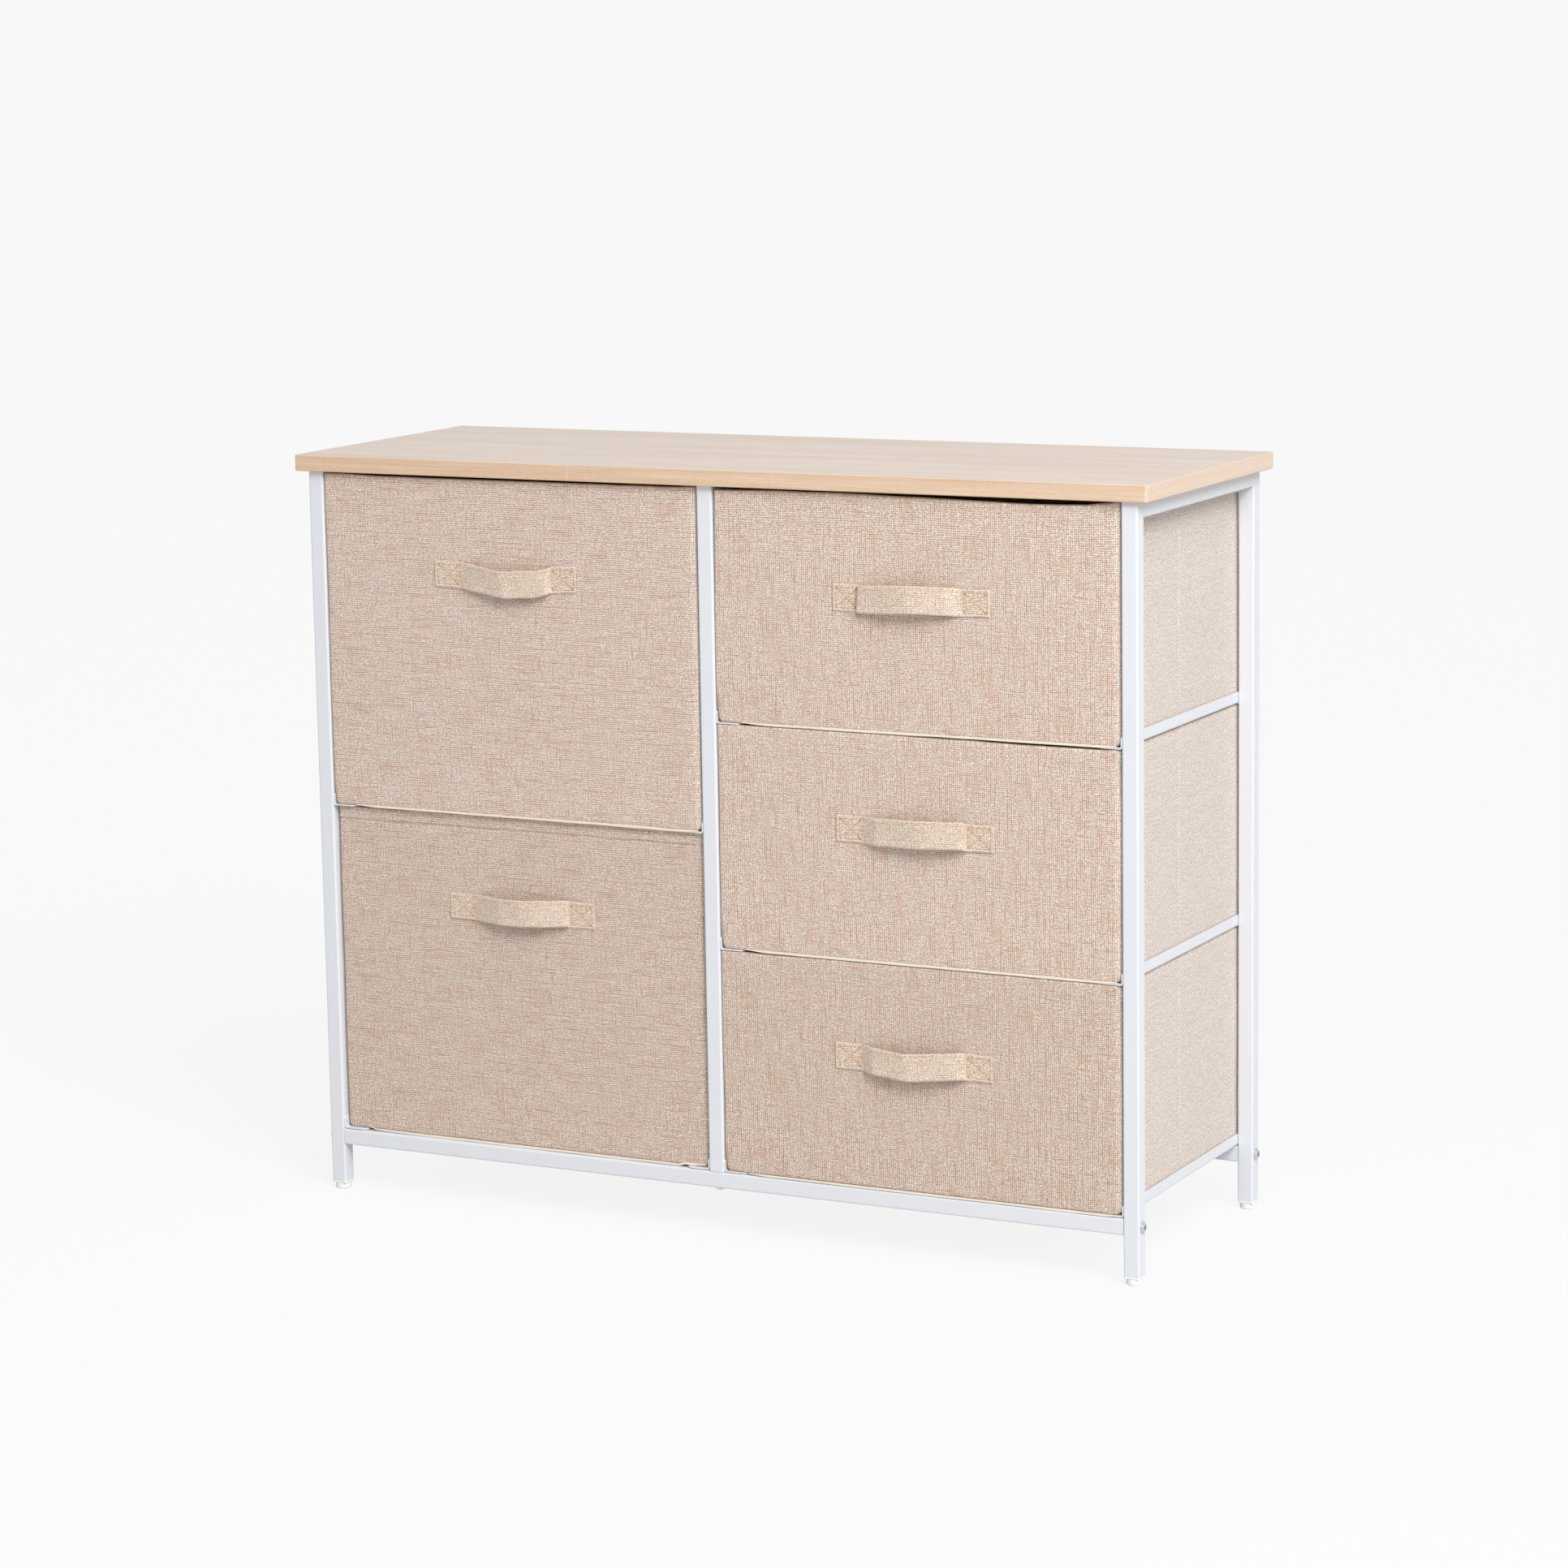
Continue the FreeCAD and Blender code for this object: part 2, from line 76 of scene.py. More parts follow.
SIDE_SWAY = 0.5 * MM
PUCKER = 0.06 * MM         # short waves
BACK_LIFT = 0.2            # rim at the back, and its waver: millimetres, as the drawers' stops
RIM_WAVER = 0.15
SIDE_CLOTH = (1.2, 0.75)   # radians round the left and right front edges to the side cloth, which is painted paler as sheen
BINDING_HEIGHT = 2.2 * MM
BINDING_THICK = 0.7 * MM
BINDING_PROUD = 0.9 * MM   # its front ahead of the drawer's, past the runners' ends
BINDING_START = 22 * MM    # from the drawer's left edge, beside the runner's shelf
STRAP_HEIGHT = 25 * MM
STRAP_THICK = 1.0 * MM
STRAP_DROP = 73.3 * MM     # rim of the drawer to the top of the sewn strap
PATCH = 27 * MM            # length of strap sewn flat at each end
STITCH = 3.0 * MM
STITCH_GAP = 0.7 * MM
THREAD_R = 0.38 * MM
SECOND_ROW = 2.4 * MM      # second row of stitches from the sewn rectangle's border; its dark thread stands in part for the shade where the loop leaves the patch
SEWN_TOP = 0.13            # sewn rectangle from the strap's edges, as a share of its height
SEWN_OUTER = 3.2 * MM      # and from the patch's outer and inner end
SEWN_INNER = 1.5 * MM
CLOTH_PITCH = (1.84 * MM, 1.96 * MM)   # thread spacing of the linen-look cloth, along U and V

# What sets each drawer apart, lengths in millimetres.
# upright: the front's cloth is cut with its thick threads upright.
# rim: (share of the width, lift of the front rim).
# side_rim: (share of the depth, how much higher the right side's rim is than that).
# lean: how far the left wall's front edge leans in, at its foot and its head.
# hem: how strongly the sewn hem shows.
# binding: (share of the width, height of its lower edge from the drawer's underside).
# strap: its loop's stops as (along the front from the handle's middle, stand-off, sag
# of the top edge, how much further along and how much further out the lower edge lies
# there). The first and last stops are the sewn patches' inner ends.
DRAWERS = {
    "upper_left": {
        "seed": 11,
        "upright": False,
        "rim": [(0, 1.5), (0.12, 0.6), (0.3, 0.3), (0.5, 0.5), (0.94, 0.6), (1, 1.4)],
        "lean": (-1.6, -1.8),
        "hem": 0.5,
        "binding": [(0, -1.0), (0.84, -1.0), (0.92, -1.5), (1, -1.0)],
        "strap": [(-48.5, 0.5, 1.8, 0, 0), (-30, 4.6, 3.6, 0, 1), (-2.5, 11, 7.4, 6, 0), (35, 8.6, 5.6, 0, 0),
                  (48, 7.2, 3.0, -3.6, 1.2), (46.3, 0.5, 2.2, -0.5, 0)],
    },
    "lower_left": {
        "seed": 12,
        "upright": False,
        "rim": [(0, 0.2), (0.06, -0.1), (0.18, 0.0), (0.3, 0.7), (0.84, 0.8), (0.92, 0.3), (1, 0.2)],
        "lean": (0.2, 0.2),
        "hem": 2.5,
        "binding": [(0, 0.1), (0.065, 0.1), (0.08, -1.9), (0.92, -1.9), (0.936, 0.1), (1, 0.1)],
        "strap": [(-52, 0.8, 0.4, 0, 0), (-20, 10.4, 0.6, -0.6, 1), (-14.5, 11, 0.4, -0.6, 1), (1.8, 13.6, 0, 1.4, 0),
                  (24, 10.6, -0.8, 1, 0), (48.5, 4.7, -2, -0.7, 0), (47.2, 0.8, -0.5, -0.7, 0)],
    },
    "upper_right": {
        "seed": 13,
        "upright": True,
        "rim": [(0, 3.6), (0.1, 4.6), (0.3, 4.8), (0.5, 3.8), (0.68, 2.6), (0.8, 1.6), (0.92, 2.6), (0.985, 5.0),
                (1, 6.6)],
        "lean": (-2.1, -1.0),
        "hem": 0.25,
        "binding": [(0, -1.0), (1, -1.0)],
        "strap": [(-49.5, 0.8, 1.0, -2, 0), (-49.5, 5, 1.0, -2, 0), (-24, 9.5, 0.2, 0, 0), (0.8, 13, -1.6, 1.2, 0),
                  (36, 6.8, -1.0, -0.8, 0), (47.8, 0.8, 0.2, -0.3, 0)],
    },
    "middle_right": {
        "seed": 14,
        "upright": True,
        "rim": [(0, 0.2), (0.06, 0.3), (0.12, 0.7), (0.42, 0.7), (0.6, -0.1), (0.79, -0.8), (0.95, -0.85), (1, 0.2)],
        "side_rim": [(0, 0), (0.08, -0.2), (0.14, -0.5), (0.25, -1.0), (0.46, -1.0), (0.5, -0.5), (0.56, -1.0),
                     (0.92, -0.9), (1, -0.4)],
        "lean": (-2.1, -2.0),
        "hem": 0.25,
        "binding": [(0, -1.0), (1, -1.0)],
        "strap": [(-49, 0.8, 0.0, -0.8, 0), (-34, 6.6, 0.2, 0, 0), (7.9, 12.6, -1.2, 2.6, 0), (51, 7.7, -2.2, -3, 0),
                  (49.6, 0.8, 0.2, -0.3, 0)],
    },
    "lower_right": {
        "seed": 15,
        "upright": True,
        "rim": [(0, 0.2), (0.06, 0.0), (0.15, 0.1), (0.25, 0.8), (0.9, 0.8), (1, 0.3)],
        "lean": (-2.1, -2.1),
        "hem": 0.25,
        "binding": [(0, -1.9), (1, -1.9)],
        "strap": [(-50.3, 0.8, -0.4, 0.6, 0), (-38, 6.6, 0.6, 1, 1), (-5.8, 12.6, 2.6, 5.2, 0),
                  (43, 8.1, -1.6, -2.5, 0), (50.6, 6, -2.4, 0, 0), (49.8, 0.8, -0.8, -0.3, 0)],
    },
}


# ---------------------------------------------------------------- materials
def linear(code):
    """sRGB hex colour as linear RGBA."""
    channels = [int(code[i:i + 2], 16) / 255 for i in (0, 2, 4)]
    return [c / 12.92 if c <= 0.04045 else ((c + 0.055) / 1.055) ** 2.4 for c in channels] + [1.0]


def node(tree, kind, inputs=None, out=0, **settings):
    """Adds a shader node with its settings. Each input is a socket, which is linked,
    or a value. Returns the output asked for, or the node itself where it has none."""
    made = tree.nodes.new("ShaderNode" + kind)
    for key, value in settings.items():
        setattr(made, key, value)
    for key, value in (inputs or {}).items():
        if isinstance(value, bpy.types.NodeSocket):
            tree.links.new(value, made.inputs[key])
        else:
            made.inputs[key].default_value = value
    return made.outputs[out] if len(made.outputs) else made


def material(name):
    """Empty material and its node tree."""
    made = bpy.data.materials.new(name)
    made.use_nodes = True
    made.node_tree.nodes.clear()
    return made, made.node_tree


def finish_with(tree, inputs):
    """Principled shader with these inputs as the material's surface."""
    shader = node(tree, "BsdfPrincipled", inputs)
    node(tree, "OutputMaterial", {"Surface": shader})


def woven(name, top, low, hole, slubs, holes, streaks):
    """Loose plain weave on the UV map, which is in metres. Threads cross at the cloth's
    pitch, each over one and under the next: their tops are painted pale and their dips
    low, painted highlight and painted shade on the weave's relief, and the brown gaps
    between them differ in depth from cell to cell, in patches, and from thread to
    thread, most along U, the deeper ones painted darker, painted shade. holes is the
    gaps' mean depth, and streaks is how far it differs between threads. The yarn is
    mottled, pale or dull over every two cells or so, with tinted slubs along either
    thread."""
    made, tree = material(name)
    flat = node(tree, "UVMap", uv_map="cloth")
    drift = node(tree, "TexNoise", {"Vector": flat, "Scale": 1 / (6 * MM), "Detail": 3.0, "Roughness": 0.7}, "Color",
                 noise_dimensions="2D")
    wander = node(tree, "VectorMath", {0: drift, "Scale": 0.9}, operation="SCALE")
    threads = node(tree, "VectorMath", {0: flat, 1: (1 / CLOTH_PITCH[0], 1 / CLOTH_PITCH[1], 0), 2: wander},
                   operation="MULTIPLY_ADD")
    cell = node(tree, "VectorMath", {0: threads}, operation="FLOOR")
    within = node(tree, "VectorMath", {0: threads}, operation="FRACTION")
    from_gap = node(tree, "VectorMath", {0: within, 1: (0.5, 0.5, 0)}, operation="SUBTRACT")
    away = node(tree, "SeparateXYZ", {0: node(tree, "VectorMath", {0: from_gap}, operation="ABSOLUTE")}).node.outputs
    chance = node(tree, "TexWhiteNoise", {"Vector": cell}, "Value", noise_dimensions="2D")

    # Patches some 3 cells across, and threads that keep their thickness over 10 cells.
    patch = node(tree, "TexNoise", {"Vector": threads, "Scale": 0.35, "Detail": 3.0, "Roughness": 0.8}, "Fac",
                 noise_dimensions="2D")
    along = node(tree, "VectorMath", {0: threads, 1: (0.05, 0.8, 0)}, operation="MULTIPLY")
    streak = node(tree, "TexNoise", {"Vector": along, "Scale": 1.0, "Detail": 2.0, "Roughness": 0.6}, "Fac",
                  noise_dimensions="2D")
    across = node(tree, "VectorMath", {0: threads, 1: (0.8, 0.09, 0)}, operation="MULTIPLY")
    weft = node(tree, "TexNoise", {"Vector": across, "Scale": 1.0, "Detail": 2.0, "Roughness": 0.6}, "Fac",
                noise_dimensions="2D")
    by_patch, by_cell = 1.3, 0.5
    even = holes - (by_patch + by_cell + 1.5 * streaks) / 2   # each of the four averages a half
    depth = node(tree, "Math", {0: patch, 1: by_patch, 2: even}, operation="MULTIPLY_ADD")
    depth = node(tree, "Math", {0: streak, 1: streaks, 2: depth}, operation="MULTIPLY_ADD")
    depth = node(tree, "Math", {0: weft, 1: streaks / 2, 2: depth}, operation="MULTIPLY_ADD")
    depth = node(tree, "Math", {0: chance, 1: by_cell, 2: depth}, operation="MULTIPLY_ADD", use_clamp=True)

    # A thread's profile is 1 on its middle line and 0 in the gap, whose edge goes
    # further out where the gap is deep.
    inner = node(tree, "Math", {0: depth, 1: 0.17}, operation="MULTIPLY")
    upright = node(tree, "MapRange", {"Value": away["X"], "From Min": inner, "From Max": 0.3},
                   interpolation_type="SMOOTHSTEP")
    level = node(tree, "MapRange", {"Value": away["Y"], "From Min": inner, "From Max": 0.3},
                 interpolation_type="SMOOTHSTEP")
    # The thread on top at each crossing is lifted, which also paints it paler: a painted highlight.
    waves = node(tree, "VectorMath", {0: threads, 1: (math.pi, math.pi, 0)}, operation="MULTIPLY")
    waves = node(tree, "SeparateXYZ", {0: node(tree, "VectorMath", {0: waves}, operation="COSINE")}).node.outputs
    over = node(tree, "Math", {0: waves["X"], 1: waves["Y"]}, operation="MULTIPLY")
    level_up = node(tree, "Math", {0: over, 1: 0.1, 2: 0.85}, operation="MULTIPLY_ADD")
    upright_up = node(tree, "Math", {0: over, 1: -0.1, 2: 0.85}, operation="MULTIPLY_ADD")
    height = node(tree, "Math", {0: node(tree, "Math", {0: upright, 1: upright_up}, operation="MULTIPLY"),
                                 1: node(tree, "Math", {0: level, 1: level_up}, operation="MULTIPLY")},
                  operation="MAXIMUM")

    # Colour from the relief: dips and deep gaps painted darker (painted shade), thread tops painted pale (painted
    # highlight).
    painted_dip_and_gap_shade = node(tree, "Mix", {0: depth, 6: linear(low), 7: linear(hole)}, 2, data_type="RGBA")
    colour = node(tree, "Mix", {0: height, 6: painted_dip_and_gap_shade, 7: linear(top)}, 2, data_type="RGBA")
    mottle = node(tree, "TexNoise", {"Vector": threads, "Scale": 1.15, "Detail": 1.0}, "Fac", noise_dimensions="2D")
    paleness = node(tree, "MapRange", {"Value": mottle, "From Min": 0.33, "From Max": 0.67})
    yarn = node(tree, "Mix", {0: paleness, 6: linear("D8CEC7"), 7: linear("FFFEFB")}, 2, data_type="RGBA")
    thick = node(tree, "Math", {0: streak, 1: weft}, operation="MAXIMUM")
    slub = node(tree, "MapRange", {"Value": thick, "From Min": 0.54, "From Max": 0.78})
    yarn = node(tree, "Mix", {0: slub, 6: yarn, 7: linear(slubs)}, 2, data_type="RGBA")
    colour = node(tree, "Mix", {0: 1.0, 6: colour, 7: yarn}, 2, data_type="RGBA", blend_type="MULTIPLY")
    normal = node(tree, "Bump", {"Height": height, "Strength": 0.5, "Distance": 0.3 * MM})
    finish_with(tree, {"Base Color": colour, "Roughness": 0.92, "IOR": 1.45, "Specular IOR Level": 0.25,
                       "Sheen Weight": 0.25, "Sheen Roughness": 0.5, "Normal": normal})
    return made


def oak_laminate():
    """Oak-print laminate on chipboard, a dull brushed film. The top is pale, with long
    faint streaks, and painted paler and greyer than the edge, in part a painted
    reflection of the white surroundings at the slant it is seen at; the edge banding
    is warmer, with fine brown pores along it and pale flecks across it. The end faces
    are painted paler still, a painted highlight where the light falls on them."""
    made, tree = material("oak_laminate_brushed")
    place = node(tree, "TexCoord", out="Object")
    facing = node(tree, "SeparateXYZ", {0: node(tree, "NewGeometry", out="Normal")}).node.outputs
    end_face = node(tree, "Math", {0: node(tree, "Math", {0: facing["X"]}, operation="ABSOLUTE"), 1: 0.7},
                    operation="GREATER_THAN")
    upper_face = node(tree, "Math", {0: facing["Z"], 1: 0.7}, operation="GREATER_THAN")
    parts = node(tree, "SeparateXYZ", {0: place}).node.outputs
    turned = node(tree, "CombineXYZ", {0: parts["Y"], 1: parts["X"], 2: parts["Z"]})
    board = node(tree, "Mix", {0: end_face, 4: place, 5: turned}, 1, data_type="VECTOR")

    def streaks(length, depth, height, detail):
        """Noise stretched along the board: size of one streak in metres."""
        stretched = node(tree, "VectorMath", {0: board, 1: (1 / length, 1 / depth, 1 / height)}, operation="MULTIPLY")
        return node(tree, "TexNoise", {"Vector": stretched, "Scale": 1.0, "Detail": detail, "Roughness": 0.62},
                    "Fac")

    bands = streaks(420 * MM, 30 * MM, 12 * MM, 2.0)
    grain = streaks(70 * MM, 3.0 * MM, 1.6 * MM, 4.0)
    pores = streaks(9 * MM, 1.0 * MM, 0.8 * MM, 3.0)
    flecks = streaks(1.1 * MM, 90 * MM, 70 * MM, 1.0)
    tone = node(tree, "Math", {0: bands, 1: 0.9, 2: -0.4}, operation="MULTIPLY_ADD")
    tone = node(tree, "Math", {0: grain, 1: 0.9, 2: tone}, operation="MULTIPLY_ADD", use_clamp=True)
    tone = node(tree, "MapRange", {"Value": tone, "From Min": 0.3, "From Max": 0.7})
    # Top film painted paler and greyer than the edge: in part a painted reflection.
    top_film_with_painted_reflection = node(tree, "Mix", {0: tone, 6: linear("E3D3C6"), 7: linear("D9C4B3")}, 2, data_type="RGBA")
    edge_film = node(tree, "Mix", {0: tone, 6: linear("E7CDB2"), 7: linear("D9B797")}, 2, data_type="RGBA")
    dark = node(tree, "MapRange", {"Value": pores, "From Min": 0.54, "From Max": 0.72, "To Max": 0.4})
    edge_film = node(tree, "Mix", {0: dark, 6: edge_film, 7: linear("B88B66")}, 2, data_type="RGBA")
    pale = node(tree, "MapRange", {"Value": flecks, "From Min": 0.64, "From Max": 0.78, "To Max": 0.25})
    edge_film = node(tree, "Mix", {0: pale, 6: edge_film, 7: linear("F3E0CB")}, 2, data_type="RGBA")
    # End faces painted paler still: a painted highlight.
    end_highlight_share = node(tree, "Math", {0: end_face, 1: 0.5}, operation="MULTIPLY")
    edge_film = node(tree, "Mix", {0: end_highlight_share, 6: edge_film, 7: linear("EBDACA")}, 2, data_type="RGBA")
    wood = node(tree, "Mix", {0: upper_face, 6: edge_film, 7: top_film_with_painted_reflection}, 2, data_type="RGBA")
    height = node(tree, "Math", {0: pores, 1: grain}, operation="ADD")
    normal = node(tree, "Bump", {"Height": height, "Strength": 0.2, "Distance": 0.1 * MM})
    finish_with(tree, {"Base Color": wood, "Roughness": 0.42, "IOR": 1.5, "Normal": normal})
    return made


def powder_coat():
    """White polyester powder coat on steel tube, baked: satin, with a faint
    orange-peel skin about 1.5 mm across."""
    made, tree = material("powder_coat_white")
    place = node(tree, "TexCoord", out="Object")
    peel = node(tree, "TexNoise", {"Vector": place, "Scale": 1 / (1.5 * MM), "Detail": 1.0}, "Fac")
    cloud = node(tree, "TexNoise", {"Vector": place, "Scale": 1 / (60 * MM), "Detail": 2.0}, "Fac")
    colour = node(tree, "Mix", {0: cloud, 6: linear("E2E5EA"), 7: linear("E5E8EC")}, 2, data_type="RGBA")
    rough = node(tree, "MapRange", {"Value": cloud, "To Min": 0.34, "To Max": 0.46})
    normal = node(tree, "Bump", {"Height": peel, "Strength": 0.12, "Distance": 0.1 * MM})
    finish_with(tree, {"Base Color": colour, "Roughness": rough, "IOR": 1.5, "Normal": normal})
    return made


def zinc_plate(name, light, dark):
    """Zinc plating on pressed steel: a clean metal with faint turning marks. It is
    grey on the bolts, and passivated to a dull straw yellow on the wood screws."""
    made, tree = material(name)
    place = node(tree, "TexCoord", out="Object")
    marks = node(tree, "TexNoise", {"Vector": place, "Scale": 1 / (0.8 * MM), "Detail": 3.0}, "Fac")
    rough = node(tree, "MapRange", {"Value": marks, "To Min": 0.2, "To Max": 0.38})
    colour = node(tree, "Mix", {0: marks, 6: linear(dark), 7: linear(light)}, 2, data_type="RGBA")
    finish_with(tree, {"Base Color": colour, "Metallic": 1.0, "Roughness": rough})
    return made


def milky_plastic():
    """Natural polyethylene, injection moulded: milky white and waxy, with light
    entering its skin."""
    made, tree = material("polyethylene_milky")
    place = node(tree, "TexCoord", out="Object")
    flow = node(tree, "TexNoise", {"Vector": place, "Scale": 1 / (5 * MM), "Detail": 2.0}, "Fac")
    colour = node(tree, "Mix", {0: flow, 6: linear("EFEFEC"), 7: linear("F7F6F4")}, 2, data_type="RGBA")
    rough = node(tree, "MapRange", {"Value": flow, "To Min": 0.38, "To Max": 0.5})
    finish_with(tree, {"Base Color": colour, "Roughness": rough, "IOR": 1.51, "Subsurface Weight": 0.15,
                       "Subsurface Scale": 1.5 * MM})
    return made


def ribbed_tape(name, light, dark):
    """Grosgrain tape or sewing thread on the UV map: fine ribs across its length,
    1.09 mm apart. A wave texture of scale 1 has twenty bands in 2 pi metres."""
    made, tree = material(name)
    flat = node(tree, "UVMap", uv_map="cloth")
    ribs = node(tree, "TexWave", {"Vector": flat, "Scale": 2 * math.pi / 20 / (1.0857 * MM), "Distortion": 1.5,
                                  "Detail": 2.0}, "Fac", wave_type="BANDS", bands_direction="X")
    worn = node(tree, "TexNoise", {"Vector": flat, "Scale": 1 / (14 * MM), "Detail": 3.0}, "Fac",
                noise_dimensions="2D")
    # Tone follows the ribs, paler on their crests and darker between them: painted highlight and painted shade on the
    # ribs.
    tone = node(tree, "Math", {0: ribs, 1: 0.35, 2: worn}, operation="MULTIPLY_ADD", use_clamp=True)
    colour = node(tree, "Mix", {0: tone, 6: linear(dark), 7: linear(light)}, 2, data_type="RGBA")
    normal = node(tree, "Bump", {"Height": ribs, "Strength": 0.3, "Distance": 0.15 * MM})
    finish_with(tree, {"Base Color": colour, "Roughness": 0.8, "IOR": 1.5, "Sheen Weight": 0.2,
                       "Sheen Roughness": 0.4, "Normal": normal})
    return made


def spunbond_lining():
    """Spunbond polypropylene lining: warm white felt of random fibres, pressed
    together in a grid of dimples 1.6 mm apart."""
    made, tree = material("spunbond_lining")
    flat = node(tree, "UVMap", uv_map="cloth")
    grid = node(tree, "VectorMath", {0: flat, 1: (1 / (1.6 * MM), 1 / (1.6 * MM), 0)}, operation="MULTIPLY")
    within = node(tree, "VectorMath", {0: grid}, operation="FRACTION")
    from_dot = node(tree, "VectorMath", {0: within, 1: (0.5, 0.5, 0)}, operation="SUBTRACT")
    reach = node(tree, "VectorMath", {0: from_dot}, "Value", operation="LENGTH")
    dimple = node(tree, "MapRange", {"Value": reach, "From Min": 0.2, "From Max": 0.38})
    fibres = node(tree, "TexNoise", {"Vector": flat, "Scale": 1 / (2.5 * MM), "Detail": 5.0, "Roughness": 0.7},
                  "Fac", noise_dimensions="2D")
    tone = node(tree, "Math", {0: dimple, 1: 0.4, 2: fibres}, operation="MULTIPLY_ADD", use_clamp=True)
    colour = node(tree, "Mix", {0: tone, 6: linear("CFC4B6"), 7: linear("EFE8DD")}, 2, data_type="RGBA")
    height = node(tree, "Math", {0: fibres, 1: 0.5, 2: dimple}, operation="MULTIPLY_ADD")
    normal = node(tree, "Bump", {"Height": height, "Strength": 0.4, "Distance": 0.2 * MM})
    finish_with(tree, {"Base Color": colour, "Roughness": 0.85, "IOR": 1.49, "Sheen Weight": 0.1, "Normal": normal})
    return made


def pressed_board(name, light, dark, flake, rough):
    """Board pressed from fibres or paper: short fibres of two tones, flake long."""
    made, tree = material(name)
    place = node(tree, "TexCoord", out="Object")
    fibre = node(tree, "TexNoise", {"Vector": place, "Scale": 1 / flake, "Detail": 6.0, "Roughness": 0.72}, "Fac")
    cloud = node(tree, "TexNoise", {"Vector": place, "Scale": 1 / (25 * flake), "Detail": 2.0}, "Fac")
    tone = node(tree, "Math", {0: fibre, 1: cloud}, operation="MULTIPLY")
    tone = node(tree, "MapRange", {"Value": tone, "From Min": 0.14, "From Max": 0.36})
    colour = node(tree, "Mix", {0: tone, 6: linear(dark), 7: linear(light)}, 2, data_type="RGBA")
    normal = node(tree, "Bump", {"Height": fibre, "Strength": 0.3, "Distance": 0.15 * MM})
    finish_with(tree, {"Base Color": colour, "Roughness": rough, "IOR": 1.5, "Normal": normal})
    return made


# woven colours: thread tops (painted highlight), thread dips and deepest gaps (painted shade), slubs.
LINEN = woven("linen_look_polyester", "FCEFE6", "D5BDAC", "765A49", "E8CEBB", 0.64, 0.77)
# Darker copy of the cloth for the lowest drawers: painted shade, darker towards the bottom of the chest.
LOWER_LINEN_PAINTED_SHADE = woven("linen_look_polyester_lower_painted_shade", "F6E9DF", "CDB4A3", "6D5341", "E8CEBB", 0.64, 0.77)
# Side cloth: a paler, greyer copy with shallower gaps; its paleness is painted sheen of the side walls seen at a
# slant.
SIDE_LINEN_PAINTED_SHEEN = woven("linen_look_polyester_side_painted_sheen", "F8F2EE", "E1D6CD", "A69384", "EDE0D6", 0.56, 0.6)
WEBBING = woven("linen_look_webbing", "FDF1E7", "E5D1BC", "98775A", "EFDCC6", 0.62, 0.65)
TAPE = ribbed_tape("grosgrain_tape_cream", "F6EDDF", "E6D8C4")
SEWING_THREAD = ribbed_tape("sewing_thread_tan", "CFAB80", "9A724D")
LINING = spunbond_lining()
FINISHES = {
    "tabletop": oak_laminate(),
    "steel": powder_coat(),
    "zinc": zinc_plate("zinc_plated_steel", "DADCDD", "B9BCC0"),
    "yellow_zinc": zinc_plate("zinc_plated_steel_yellow", "C9BC9C", "A8997A"),
    "plastic": milky_plastic(),
    "fibreboard": pressed_board("fibreboard_raw", "C9A57E", "A07C58", 1.2 * MM, 0.75),
    "grey_board": pressed_board("grey_board_recycled", "B9B4AB", "8F8A82", 0.9 * MM, 0.85),
}


# ---------------------------------------------------------------- mesh tools
def surface(name, points, uv, finishes, choice=None, turned=None):
    """Mesh of quads through a grid of points (rows, columns, 3), smooth, with doubled
    points merged. Seen from outside, rows run downwards and columns to the right. uv
    is (rows, columns, 2) in metres. choice gives each quad one of the finishes, and
    turned says where a quad's cloth lies the other way, with U and V swapped."""
    rows, columns = points.shape[:2]
    index = np.arange(rows * columns).reshape(rows, columns)
    corners = (np.s_[:-1, :-1], np.s_[1:, :-1], np.s_[1:, 1:], np.s_[:-1, 1:])
    quads = np.stack([index[c] for c in corners], axis=-1).reshape(-1, 4)
    loops = np.stack([uv[c] for c in corners], axis=-2)
    if turned is not None:
        loops = np.where(turned[..., None, None], loops[..., ::-1], loops)
    mesh = bpy.data.meshes.new(name)
    mesh.from_pydata(points.reshape(-1, 3).tolist(), [], quads.tolist())
    mesh.uv_layers.new(name="cloth").data.foreach_set("uv", loops.astype(np.float32).ravel())
    for finish in finishes:
        mesh.materials.append(finish)
    if choice is not None:
        mesh.polygons.foreach_set("material_index", choice.astype(np.int32).ravel())
    mesh.shade_smooth()
    tidy = bmesh.new()
    tidy.from_mesh(mesh)
    bmesh.ops.remove_doubles(tidy, verts=tidy.verts, dist=1e-6)
    bmesh.ops.dissolve_degenerate(tidy, edges=tidy.edges, dist=1e-7)
    tidy.to_mesh(mesh)
    tidy.free()
    piece = bpy.data.objects.new(name, mesh)
    bpy.context.scene.collection.objects.link(piece)
    return piece


def ripple(u, v, wavelength, seed):
    """Unevenness between about -1 and 1: the sum of nine plane waves over (u, v), each
    with its own heading, phase and a length near the wavelength."""
    chance = np.random.default_rng(seed)
    total = np.zeros(np.broadcast(u, v).shape)
    for heading, phase, length in zip(chance.uniform(0, math.pi, 9), chance.uniform(0, 2 * math.pi, 9),
                                      wavelength * chance.uniform(0.7, 1.7, 9)):
        total += np.cos(2 * math.pi * (u * math.cos(heading) + v * math.sin(heading)) / length + phase)
    return total / 4.5


def smooth_step(value):
    """0 below 0, 1 above 1, and the cubic 3t^2 - 2t^3 between."""
    share = np.clip(value, 0, 1)
    return share * share * (3 - 2 * share)


def bump(distance, width):
    """Bell curve of height 1 round distance 0."""
    return np.exp(-(distance / width) ** 2)


